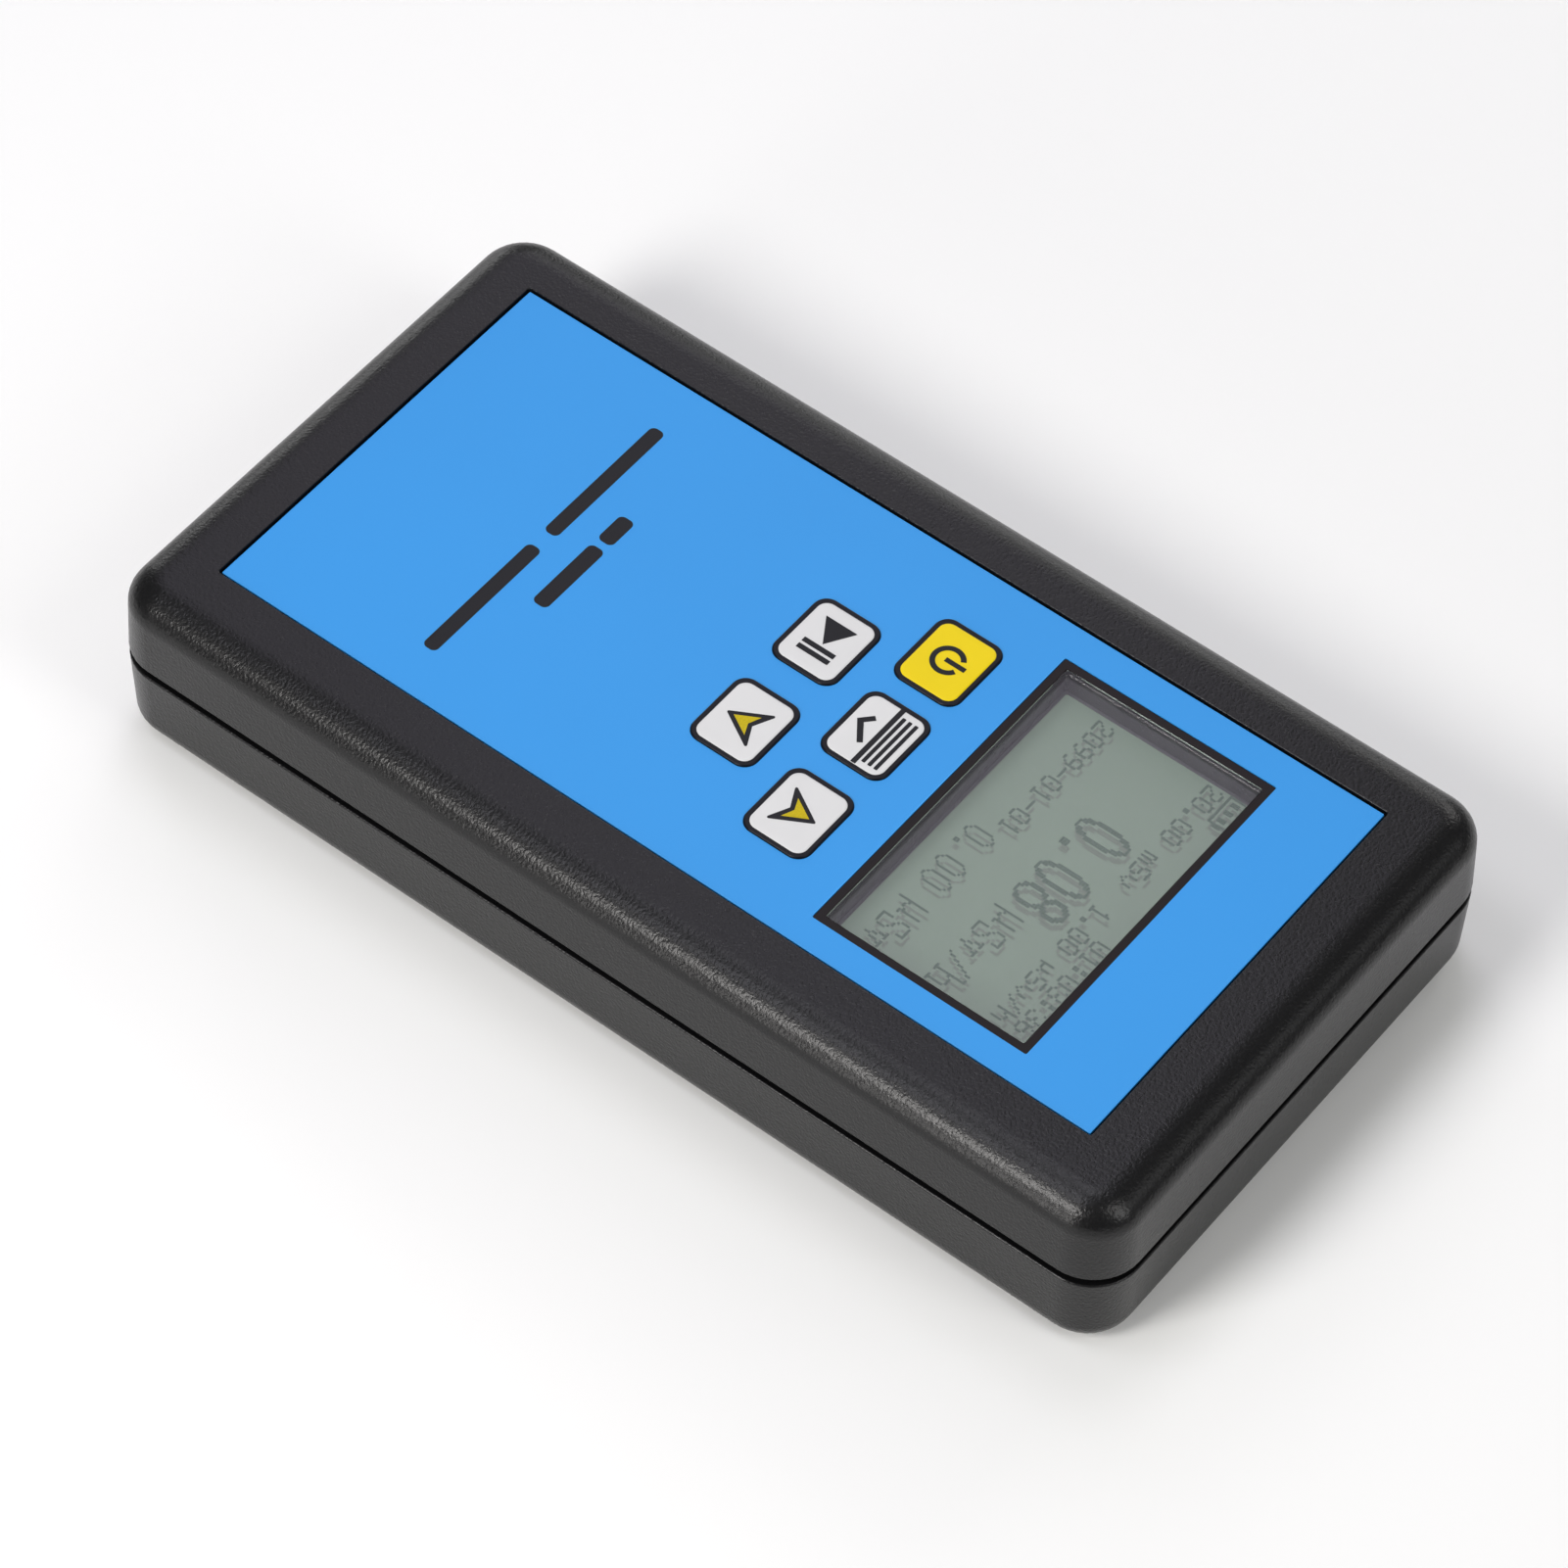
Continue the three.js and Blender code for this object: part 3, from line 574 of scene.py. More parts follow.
def cut_front_openings(shell):
    rebate = window_rect(WINDOW_WIDTH + REBATE_PLAY, WINDOW_LENGTH + REBATE_PLAY, REBATE_CORNER)
    cut(shell, prism("rebate", rebate, LEDGE_Z, HEIGHT + CUT_OVER), window_well())
    for name in KEY_NAMES:
        x, y = node_middle(f"key_{name}")
        outline = key_outline(KEY_GAP, x, y, KEY_HOLE_STEPS)
        cut(shell, prism("key_hole", outline, FRONT_INNER_Z - CUT_OVER, HEIGHT + CUT_OVER))


def front_shell():
    rim = SEAM_Z + SEAM_GAP / 2
    across, down = FRONT_FILLET
    rings = [
        case_ring(WALL, FRONT_INNER_Z),
        case_ring(WALL, TONGUE_TOP + TONGUE_HEADROOM),
        case_ring(SEAM_DEPTH - TONGUE_PLAY, TONGUE_TOP + TONGUE_HEADROOM),
        case_ring(SEAM_DEPTH - TONGUE_PLAY, rim),
    ]
    rings += rim_rings(rim, 1)
    rings.append(case_ring(FRONT_DRAFT, HEIGHT - down))
    rings += fillet_rings(FRONT_DRAFT, HEIGHT - down, across, down, 1)
    rings.append(case_ring(FRONT_DRAFT + across + FLAT_HOLD, HEIGHT))
    rings += recess_rings()
    shell = loft("front_case", rings)
    width, length = CLEAR_WIDTH + 2 * COLLAR_WALL, CLEAR_LENGTH + 2 * COLLAR_WALL
    collar = window_rect(width, length, COLLAR_CORNER)
    join(shell, prism("collar", collar, COLLAR_LOW, FRONT_INNER_Z + OVERLAP))
    add_front_bosses(shell)
    cut_front_openings(shell)
    return dress(smooth(shell), CASE, "root", "front_shell")


def rear_shell():
    rim = SEAM_Z - SEAM_GAP / 2
    across, down = REAR_FILLET
    chamfer_across, chamfer_down = TONGUE_CHAMFER
    rings = [
        case_ring(WALL, WALL),
        case_ring(WALL, TONGUE_TOP),
        case_ring(SEAM_DEPTH + chamfer_across, TONGUE_TOP),
        case_ring(SEAM_DEPTH, TONGUE_TOP - chamfer_down),
        case_ring(SEAM_DEPTH, rim),
    ]
    rings += rim_rings(rim, -1)
    rings.append(case_ring(REAR_DRAFT, down))
    rings += fillet_rings(REAR_DRAFT, down, across, down, -1)
    shell = loft("rear_case", rings)
    add_battery_bay(shell)
    cut_door_opening(shell)
    cut_rear_holes(shell)
    return dress(smooth(shell), CASE, "root", "rear_shell")


# ---- battery bay, door and rear openings ----

DOOR_HIGH = node_box("battery_door")[1]
DOOR_HALF = 20.0
DOOR_THICKNESS = 1.9
DOOR_END = 2.15                  # thickness of the door's turned-up end
DOOR_GAP = 0.3
DOORWAY_ROOF = DOOR_THICKNESS + 0.4
DOORWAY_END = 2.4                # how far the doorway goes into the end of the case
DOOR_TRAVEL = 8.0
PAST_END_Y = -90.0               # past the lower end of the case
TAB_MIDDLES = (-60.5, -32.5)
TAB_HALF = 3.5
TAB_HEIGHTS = (2.5, 3.35)
TAB_INNER = 2.2                  # how far inside the door's side a tab starts
ROOT_HEIGHTS = (1.4, 3.4)
ROOT_INSIDE = (2.0, 0.1)         # the same for the two sides of a tab's root
ROOT_OVER = 0.05                 # what a root is wider than its tab, on each side
NOTCH_HALF = 21.7                # half width of the notches for the tabs
TUNNEL_HALF = 22.2               # half width of the tunnel behind them
TUNNEL_TOP = 3.7
NOTCH_TOP = WALL + 0.2
BAY_HALF = 15.25
BAY_LOW_Y = -73.1
BAY_HIGH_Y = -15.6
BAY_ROOF = 17.1
BAY_WALL = 1.3
SHELF_HALF = 24.0                # the shelf over the door's tabs
SHELF_HIGH_Y = -11.8
SHELF_LOW = WALL - 0.35
SHELF_TOP = 4.9
GRIP_COUNT = 5
GRIP_START = -67.5
GRIP_PITCH = 2.2
GRIP_DEPTH = 0.55
GRIP_SIZE = (16, 1.0, 0.45)      # width, height and corner radius
SLOT_X = node_middle("geiger_tube")[0]
SLOT_COUNT = 6
SLOT_START = 7.5
SLOT_PITCH = 9.0
SLOT_SIZE = (12, 2, 0.95)
BUZZER_X, BUZZER_Y = node_middle("buzzer")
BUZZER_PITCH = 3.4
BUZZER_WIDTHS = (8, 10, 8)
BUZZER_SLOT = (1.6, 0.75)        # height and corner radius
SLOT_STEPS = 5
SLOT_OVER = 1.0                  # how far the slots' tools go past the wall


def add_battery_bay(shell):
    outer = BAY_HALF + BAY_WALL
    low_y = BAY_LOW_Y - BAY_WALL
    high_y = BAY_HIGH_Y + BAY_WALL
    join(shell,
         box_piece("bay", (-outer, low_y, WALL - OVERLAP), (outer, high_y, BAY_ROOF + BAY_WALL)),
         box_piece("shelf", (-SHELF_HALF, low_y, SHELF_LOW), (SHELF_HALF, SHELF_HIGH_Y, SHELF_TOP)))
    for sx, sy in CORNERS:
        outline = circle(REAR_BOSS, sx * SCREW_X, sy * SCREW_Y)
        join(shell, prism("boss", outline, WALL - OVERLAP, SEAM_Z - BOSS_GAP))


def cut_door_opening(shell):
    """The bay's inside, the tunnel for the door's tabs, the doorway and the tabs' notches."""
    half = DOOR_HALF + DOOR_GAP
    end = DOOR_HIGH.y + DOOR_GAP
    rim = DOOR_HIGH.z + DOOR_GAP
    cut(shell,
        box_piece("bay", (-BAY_HALF, BAY_LOW_Y, UNDER_CASE), (BAY_HALF, BAY_HIGH_Y, BAY_ROOF)),
        box_piece("tunnel", (-TUNNEL_HALF, BAY_LOW_Y, WALL), (TUNNEL_HALF, end, TUNNEL_TOP)),
        box_piece("door", (-half, PAST_END_Y, UNDER_CASE), (half, end, DOORWAY_ROOF)),
        box_piece("end", (-half, PAST_END_Y, UNDER_CASE), (half, CASE_LOW.y + DOORWAY_END, rim)))
    for tab in TAB_MIDDLES:
        low = tab - DOOR_TRAVEL - TAB_HALF - DOOR_GAP
        high = tab - DOOR_TRAVEL + TAB_HALF + DOOR_GAP
        notch = box_piece("notch", (-NOTCH_HALF, low, UNDER_CASE), (NOTCH_HALF, high, NOTCH_TOP))
        cut(shell, notch)


def cut_rear_holes(shell):
    """The wells of the case screws, the slots over the tube and the buzzer's slots."""
    well, depth = SCREW_WELL
    for sx, sy in CORNERS:
        x, y = sx * SCREW_X, sy * SCREW_Y
        cut(shell, prism("well", circle(well, x, y), UNDER_CASE, depth),
            prism("hole", circle(SCREW_HOLE, x, y, HOLE_STEPS), *REAR_HOLE))
    for i in range(SLOT_COUNT):
        outline = rounded_rect(*SLOT_SIZE, SLOT_X, SLOT_START + SLOT_PITCH * i, SLOT_STEPS)
        cut(shell, prism("slot", outline, UNDER_CASE, WALL + SLOT_OVER))
    for i, width in zip((-1, 0, 1), BUZZER_WIDTHS):
        y = BUZZER_Y + BUZZER_PITCH * i
        outline = rounded_rect(width, *BUZZER_SLOT, BUZZER_X, y, SLOT_STEPS)
        cut(shell, prism("slot", outline, UNDER_CASE, WALL + SLOT_OVER))


def door_tab(y, side):
    """A tab on one side of the door and the root that joins it to the plate."""
    low, high = ROOT_HEIGHTS
    inner, outer = sorted(side * (DOOR_HALF - inside) for inside in ROOT_INSIDE)
    root = box_piece("root", (inner, y - TAB_HALF, low), (outer, y + TAB_HALF, high))
    low, high = TAB_HEIGHTS
    half = TAB_HALF - ROOT_OVER
    inner, outer = sorted((side * (DOOR_HALF - TAB_INNER), side * DOOR_HIGH.x))
    tab = box_piece("tab", (inner, y - half, low), (outer, y + half, high))
    return root, tab


def battery_door():
    """The rear shell's own outline, cut down to the door's plate."""
    across, down = REAR_FILLET
    rings = [case_ring(REAR_DRAFT, down + 8), case_ring(REAR_DRAFT, down)]
    rings += fillet_rings(REAR_DRAFT, down, across, down, -1)
    door = loft("door", rings)
    keep = box_piece("keep", (-DOOR_HALF, PAST_END_Y, UNDER_CASE), (DOOR_HALF, DOOR_HIGH.y, DOOR_HIGH.z))
    boolean(door, [keep], "INTERSECT")
    cut(door, box_piece("hollow", (-30, CASE_LOW.y + DOOR_END, DOOR_THICKNESS), (30, 30, 30)))
    for y in TAB_MIDDLES:
        for side in (-1, 1):
            join(door, *door_tab(y, side))
    for i in range(GRIP_COUNT):
        outline = rounded_rect(*GRIP_SIZE, 0, GRIP_START + GRIP_PITCH * i, SLOT_STEPS)
        cut(door, prism("grip", outline, UNDER_CASE, GRIP_DEPTH))
    return dress(smooth(door), CASE, "door", "battery_door")


# ---- front face ----


def overlay():
    film = pillow("film", FILM_WIDTH, FILM_LENGTH, FILM_CORNER, FILM_LOW.z, FILM_TOP, FILM_EDGE,
                  FILM_X, FILM_Y, 3)
    for name in KEY_NAMES:
        x, y = node_middle(f"key_{name}")
        cut(film, prism("hole", key_outline(FILM_KEY_GAP, x, y, FILM_HOLE_STEPS), *FILM_CUT))
    cut(film, prism("hole", window_rect(WINDOW_WIDTH, WINDOW_LENGTH, BORDER_CORNER, 3), *FILM_CUT))
    return dress(smooth(film), FILM, "root", "front_overlay")


def window_plate(name, width, length, radius, low, high, edge):
    return pillow(name, width, length, radius, low, high, edge, WINDOW_X, WINDOW_Y, 2)


def window_border():
    ring = window_plate("border", WINDOW_WIDTH - WINDOW_FIT, WINDOW_LENGTH - WINDOW_FIT, BORDER_CORNER,
                        FILM_LOW.z, BORDER_TOP, BORDER_EDGE)
    cut(ring, prism("hole", window_rect(CLEAR_WIDTH, CLEAR_LENGTH, CLEAR_CORNER), *FILM_CUT))
    soften(ring, BORDER_EDGE)
    return dress(smooth(ring), BORDER, "root", "window_border")


def window_pane():
    """A stepped pane: the plate on the ledge, and the step that fills the border's opening."""
    pane = window_plate("pane", WINDOW_WIDTH, WINDOW_LENGTH, PANE_CORNER,
                        PANE_LOW.z, PANE_HIGH.z, PANE_EDGE)
    step = window_plate("step", CLEAR_WIDTH - WINDOW_FIT, CLEAR_LENGTH - WINDOW_FIT,
                        CLEAR_CORNER - WINDOW_FIT / 2,
                        PANE_LOW.z + STEP_RISE, BORDER_TOP - STEP_DROP, STEP_EDGE)
    join(pane, step)
    pane.visible_shadow = False
    return dress(smooth(pane), PANE, "root", "window_lens")


def key_face(name, x, y):
    """The raised face of a key: its rim is rounded over wide and low."""
    width, length = KEY_WIDTH - RIM_SHOWN[0], KEY_LENGTH - RIM_SHOWN[1]
    across, down = FACE_EDGE
    rings = [at_height(rounded_rect(width, length, FACE_CORNER, x, y), KEY_TOP - FACE_DEPTH)]
    for angle in quarter_turn(FACE_STEPS):
        inset = across * (1 - math.cos(angle))
        outline = rounded_rect(width - 2 * inset, length - 2 * inset, FACE_CORNER - inset, x, y)
        rings.append(at_height(outline, KEY_TOP - FACE_SINK - down * (1 - math.sin(angle))))
    return loft(f"{name}_face", rings)


def key_cap(name, face_material):
    """A key's black base with its flange and stem, and the printed face on it."""
    x, y = node_middle(f"key_{name}")
    low, high = node_box(f"key_{name}")
    base = pillow(f"{name}_rim", KEY_WIDTH, KEY_LENGTH, KEY_CORNER, FLANGE_LOW, KEY_TOP - RIM_DROP,
                  RIM_EDGE, x, y)
    flange = rounded_rect(high.x - low.x, high.y - low.y, KEY_CORNER, x, y)
    join(base,
         prism("flange", flange, FLANGE_LOW, FLANGE_LOW + FLANGE_THICKNESS),
         prism("stem", circle(STEM_RADIUS, x, y, STEM_STEPS), low.z, STEM_TOP))
    face = key_face(name, x + FACE_SHIFT[0], y + FACE_SHIFT[1])
    body = f"{name}_key"
    dress(smooth(base), RIM_BLACK, body, f"key_{name}")
    dress(smooth(face), face_material, body, None)


# ---- printed icons and bars ----

ICON_RISE = 0.02                 # a print stands this far past the film or print under it
PRINT_THICKNESS = 0.06
STROKE = 0.7
STROKE_CORNER = 0.05
# Each icon's places are from the middle of its key.
POWER_MIDDLE = (-0.03, -0.11)
POWER_RING = (1.93, 0.72)        # radius and stroke
POWER_TURN = (119, 421)          # the ring's start and end in degrees
POWER_BAR = (-0.01, 1.02, 3.0)   # middle and length
ARROW_EDGE = ((0, 2.4), (-2.72, -2.32), (0, -0.97), (2.72, -2.32))
ARROW_FILL = ((0, 1.68), (-1.68, -1.28), (0, -0.55), (1.68, -1.28))
ARROW_MARGIN = 0.2
ARROW_SHIFT = (0.15, 0.12)       # of the black edge and of the yellow fill
TICK = ((-2.3, 0.2), (-1.8, 0.75), (-0.68, -0.3), (1.85, 1.5), (2.3, 0.9), (-0.68, -1.3))
TICK_MIDDLE = (0.14, -1.95)
MENU_MIDDLE = (0.14, 2.25)
MENU_PITCH = 0.92
MENU_BAR = (8.4, 0.52, 0.12)     # width, height and corner radius
DIVIDER_Y = 0.41
DIVIDER_SHORT = 1.5              # what it is shorter than the key is wide
TRIANGLE = ((-3.05, -2.4), (0.8, 0), (-3.05, 2.4))
PAUSE_MIDDLES = (1.55, 2.7)
PAUSE_BAR = (0.74, 4.8)
# Two rows of plain bars: middle of the row from the film's middle, height, (middle, width) of each bar.
PRINT_ROWS = (
    (-32.85, 2.3, ((-5.9, 4.8), (3.4, 11.6))),
    (-38.95, 2.1, ((-11.2, 21.6), (12.6, 20.6))),
)
PRINT_CORNER = 0.8
ARC_STEPS = 40
GROWN_STEPS = 6


def decal(name, outline, top, material, body):
    """A printed patch: a thin plate whose face is at top."""
    patch = prism(name, outline, top - PRINT_THICKNESS, top)
    return dress(patch, material, body)


def bar(x, y, width, length, radius=STROKE_CORNER):
    return rounded_rect(width, length, radius, x, y, 4)


def arc_band(x, y, radius, stroke, start, end):
    """A stretch of a ring, from start to end in degrees."""
    angles = [math.radians(start + (end - start) * i / ARC_STEPS) for i in range(ARC_STEPS + 1)]
    outer, inner = radius + stroke / 2, radius - stroke / 2
    points = [(x + outer * math.cos(a), y + outer * math.sin(a)) for a in angles]
    return points + [(x + inner * math.cos(a), y + inner * math.sin(a)) for a in reversed(angles)]


def grown(points, distance):
    """A counter-clockwise outline moved out by distance, with round outer corners."""
    moved = []
    count = len(points)
    for i in range(count):
        before, here, after = (Vector(points[j % count]) for j in (i - 1, i, i + 1))
        a = (here - before).normalized()
        b = (after - here).normalized()
        out_a, out_b = Vector((a.y, -a.x)), Vector((b.y, -b.x))
        middle = (out_a + out_b).normalized()
        if a.cross(b) < 0:
            moved.append(tuple(here + middle * (distance / middle.dot(out_a))))
            continue
        start = math.atan2(out_a.y, out_a.x)
        turn = math.acos(max(-1, min(1, out_a.dot(out_b))))
        for k in range(GROWN_STEPS + 1):
            angle = start + turn * k / GROWN_STEPS
            moved.append((here.x + distance * math.cos(angle), here.y + distance * math.sin(angle)))
    return moved


def placed(points, x, y, sign=1):
    """An outline about (x, y), turned by half a turn when sign is -1."""
    return [(x + sign * px, y + sign * py) for px, py in points]


def power_icon():
    x, y = node_middle("key_power")
    ring = arc_band(x + POWER_MIDDLE[0], y + POWER_MIDDLE[1], *POWER_RING, *POWER_TURN)
    decal("icon_power_ring", ring, KEY_TOP, INK_BLACK, "power_key")
    dx, dy, length = POWER_BAR
    decal("icon_power_bar", bar(x + dx, y + dy, STROKE, length), KEY_TOP, INK_BLACK, "power_key")


def menu_icon():
    """A line across the key, three bars on one side of it and a tick on the other."""
    x, y = node_middle("key_menu")
    divider = bar(x + FACE_SHIFT[0], y + DIVIDER_Y, KEY_WIDTH - DIVIDER_SHORT, STROKE)
    decal("icon_divider", divider, KEY_TOP, INK_BLACK, "menu_key")
    for i in (-1, 0, 1):
        outline = bar(x + MENU_MIDDLE[0], y + MENU_MIDDLE[1] + MENU_PITCH * i, *MENU_BAR)
        decal(f"icon_menu_{i + 2}", outline, KEY_TOP, INK_BLACK, "menu_key")
    tick = placed(reversed(TICK), x + TICK_MIDDLE[0], y + TICK_MIDDLE[1])
    decal("icon_tick", tick, KEY_TOP, INK_BLACK, "menu_key")


def arrow_icon(name, sign):
    x, y = node_middle(f"key_{name}")
    edge = grown(placed(ARROW_EDGE, x + ARROW_SHIFT[0], y, sign), ARROW_MARGIN)
    fill = placed(ARROW_FILL, x + ARROW_SHIFT[1], y, sign)
    decal(f"icon_{name}_edge", edge, KEY_TOP - ICON_RISE, INK_BLACK, f"{name}_key")
    decal(f"icon_{name}_fill", fill, KEY_TOP, INK_YELLOW, f"{name}_key")


def play_icon():
    x, y = node_middle("key_play")
    decal("icon_play", placed(TRIANGLE, x, y), KEY_TOP, INK_BLACK, "play_key")
    for i, middle in enumerate(PAUSE_MIDDLES):
        decal(f"icon_pause_{i + 1}", bar(x + middle, y, *PAUSE_BAR), KEY_TOP, INK_BLACK, "play_key")


def printed_bars():
    """Two plain rows of rounded bars on the film."""
    for row, (y, height, bars) in enumerate(PRINT_ROWS):
        for i, (middle, width) in enumerate(bars):
            outline = rounded_rect(width, height, PRINT_CORNER, FILM_X + middle, FILM_Y + y, 6)
            decal(f"print_{row + 1}_{i + 1}", outline, FILM_TOP + ICON_RISE, INK_BLACK, "root")


# ---- display ----

SMALL = {
    "0": ("01110", "10001", "10001", "10101", "10001", "10001", "01110"),
    "1": ("00100", "01100", "00100", "00100", "00100", "00100", "01110"),
    "2": ("01110", "10001", "00001", "00110", "01000", "10000", "11111"),
    "3": ("01110", "10001", "00001", "00110", "00001", "10001", "01110"),
    "6": ("00110", "01000", "10000", "11110", "10001", "10001", "01110"),
    "9": ("01110", "10001", "10001", "01111", "00001", "00010", "01100"),
    ".": ("00000", "00000", "00000", "00000", "00000", "01100", "01100"),
    ":": ("00000", "01100", "01100", "00000", "01100", "01100", "00000"),
    "-": ("00000", "00000", "00000", "11111", "00000", "00000", "00000"),
    "/": ("00001", "00010", "00010", "00100", "01000", "01000", "10000"),
    "m": ("00000", "00000", "11010", "10101", "10101", "10101", "10101"),
    "S": ("01111", "10000", "10000", "01110", "00001", "00001", "11110"),
    "v": ("00000", "00000", "10001", "10001", "10001", "01010", "00100"),
    "u": ("00000", "00000", "10010", "10010", "10010", "11101", "10000"),
    "h": ("10000", "10000", "10110", "11001", "10001", "10001", "10001"),
    " ": ("00000",) * 7,
}
TALL = {
    "0": ("00011000", "00100100", "01000010", "01000010", "01000010", "01000010", "01000010", "01000010",
          "01000010", "00100100", "00011000"),
    ".": ("00000000",) * 9 + ("01100000", "01100000"),
    "u": ("10000100", "10000100", "10000100", "10000100", "10000100", "10000100", "11001100", "10110110",
          "10000000", "10000000", "10000000"),
    "S": ("00111110", "01000010", "01000010", "01000000", "00100000", "00011000", "00000100", "01000010",
          "01000010", "01000010", "01111100"),
    "v": ("00000000",) * 4 + ("11101110", "01000100", "01001000", "00101000", "00101000", "00010000",
                              "00010000"),
    "/": ("00000010", "00000010", "00000100", "00000100", "00001000", "00001000", "00010000", "00010000",
          "00100000", "00100000", "01000000"),
    "h": ("11000000", "01000000", "01000000", "01000000", "01011100", "01100010", "01000010", "01000010",
          "01000010", "01000010", "11100111"),
    " ": ("00000000",) * 11,
}
FONT_PITCH = {"small": 6, "tall": 8}
DOT_PITCH = (0.3535, 0.403)
DOTS = (128, 64)
DOT_SIZE = 0.92                  # share of its pitch that a dot fills
DOTS_X = WINDOW_X - 1.4          # middle of the dots
DOTS_Y = WINDOW_Y + 0.38
DOT_LAYER = 0.02                 # thickness of a dot
REFLECTOR_TOP = GLASS_TOP - 0.05
REFLECTOR_CORNER = 0.3
REFLECTOR_EDGE = 0.1
MASK_LOW = REFLECTOR_TOP - 0.05
MASK_TOP = REFLECTOR_TOP + 0.06
MASK_SHOWN = (0.3, 0.4)          # how far the display's dark mask shows inside the well
MASK_COVER = 1.0                 # how far the mask runs on past the well's walls
PAINTED_SHADOW_SHIFT = (0.95, 0.62)       # where the painted shadow of the dots lies, shifted from the dots
BATTERY_ICON = (14, 7)           # dots across and down, without its nipple
# Each line's text and font, and the column and row of its upper left dot.
LINES = (
    ("01:03:36", "small", 79, 0),
    ("20.00 mSv", "small", 2, 8),
    ("1.00 uSv/h", "small", 67, 8),
    ("uSv/h", "tall", 88, 27),
    ("2099-01-01", "small", 3, 48),
    ("0.00 uSv", "tall", 65, 51),
)
# The ovals of the large 0 and 8: column, row, dots across, dots down.
OVALS = (
    (38, 18, 10, 19),
    (61, 18, 10, 19),
    (74, 18, 9, 9),
    (73, 26, 10, 11),
)
POINT = (51, 34, 3)              # the large decimal point: column, row, dots each way


def text_dots(text, font, column, row):
    """The lit dots of a line of text, whose upper left is at (column, row)."""
    letters = SMALL if font == "small" else TALL
    lit = set()
    for n, letter in enumerate(text):
        for dy, line in enumerate(letters[letter]):
            for dx, mark in enumerate(line):
                if mark == "1":
                    lit.add((column + n * FONT_PITCH[font] + dx, row + dy))
    return lit


def oval_dots(column, row, width, height):
    """The dots of an oval that fits a box of that many dots, with sides two dots thick."""
    lit = set()
    ry = (height - 1) / 2
    for thin in (0, 1):
        rx = (width - 1) / 2 - thin
        for step in range(360):
            x = column + (width - 1) / 2 + rx * math.cos(math.radians(step))
            y = row + ry + ry * math.sin(math.radians(step))
            lit.add((round(x), round(y)))
    return lit


def battery_icon(column, row):
    """A battery with three bars in it and a nipple on its right."""
    width, height = BATTERY_ICON
    lit = set()
    for dx in range(width):
        for dy in range(height):
            edge = dx in (0, width - 1) or dy in (0, height - 1)
            if edge or (dx % 4 in (2, 3) and 1 < dy < height - 2):
                lit.add((column + dx, row + dy))
    return lit | {(column + width, row + dy) for dy in (2, 3, 4)}


def reading():
    """All lit dots of the display, as (column, row) from the upper left."""
    lit = battery_icon(1, 0)
    for line in LINES:
        lit |= text_dots(*line)
    for oval in OVALS:
        lit |= oval_dots(*oval)
    column, row, size = POINT
    lit |= {(column + dx, row + dy) for dx in range(size) for dy in range(size)}
    return {(c, r) for c, r in lit if 0 <= c < DOTS[0] and 0 <= r < DOTS[1]}


def dot_layer(name, lit, top, size, shift=(0, 0)):
    """One thin tile for each lit dot, all in one mesh, with their faces at top."""
    vertices, faces = [], []
    left = DOTS_X - DOTS[0] * DOT_PITCH[0] / 2 + shift[0]
    upper = DOTS_Y + DOTS[1] * DOT_PITCH[1] / 2 + shift[1]
    half_x, half_y = (pitch * size / 2 for pitch in DOT_PITCH)
    for column, row in sorted(lit):
        x = left + (column + 0.5) * DOT_PITCH[0]
        y = upper - (row + 0.5) * DOT_PITCH[1]
        corners = [(x - half_x, y - half_y), (x + half_x, y - half_y),
                   (x + half_x, y + half_y), (x - half_x, y + half_y)]
        first = len(vertices)
        vertices += at_height(corners, top) + at_height(corners, top - DOT_LAYER)
        faces.append(tuple(range(first, first + 4)))
        faces.append(tuple(reversed(range(first + 4, first + 8))))
        for i in range(4):
            j = (i + 1) % 4
            faces.append((first + i, first + 4 + i, first + 4 + j, first + j))
    return make(name, vertices, faces)


def display_reflector():
    low, high = node_box("display_glass")
    x, y = node_middle("display_glass")
    back = pillow("reflector", high.x - low.x, high.y - low.y, REFLECTOR_CORNER,
                  low.z, REFLECTOR_TOP, REFLECTOR_EDGE, x, y, 2)
    return dress(smooth(back), REFLECTOR, "root", "display_glass")


def display_dots():
    """The lit dots and, half sunk under them, their painted shadow: a faint darker copy, shifted."""
    lit = reading()
    # painted shadow of the dots on the reflector
    painted_shadow = dot_layer("display_painted_shadow", lit, REFLECTOR_TOP + 0.5 * DOT_LAYER, 1.0, PAINTED_SHADOW_SHIFT)
    dress(painted_shadow, DOT_PAINTED_SHADOW, "root", None)
    dots = dot_layer("display_dots", lit, REFLECTOR_TOP + DOT_LAYER, DOT_SIZE)
    dress(dots, DOT, "root", None)


def display_mask():
    """The printed frame round the dots, seen as a thin line along the foot of the well's walls."""
    shown_x, shown_y = MASK_SHOWN
    outer = window_rect(CLEAR_WIDTH + 2 * MASK_COVER, CLEAR_LENGTH + 2 * MASK_COVER, CLEAR_CORNER)
    inner = window_rect(CLEAR_WIDTH - 2 * shown_x, CLEAR_LENGTH - 2 * shown_y, CLEAR_CORNER)
    mask = prism("display_mask", outer, MASK_LOW, MASK_TOP)
    cut(mask, prism("hole", inner, UNDER_SEAM, HEIGHT + CUT_OVER))
    return dress(smooth(mask), MASK, "root", None)


# ---- inner parts and fasteners ----

SCREW_STEPS = 28
# Radius and height over the head's face, from the head to the start of the tip.
SCREW_PROFILE = ((2.3, 0), (2.7, 0.2), (2.8, 0.6), (2.8, 1.9), (1.4, 1.95))
SCREW_TIP = ((1.4, 1.4), (0.3, 0))   # radius and distance from the end
CROSS_HALF = (1.5, 0.32)             # half the length and half the width of the cross recess
CROSS_DEPTH = 1.1


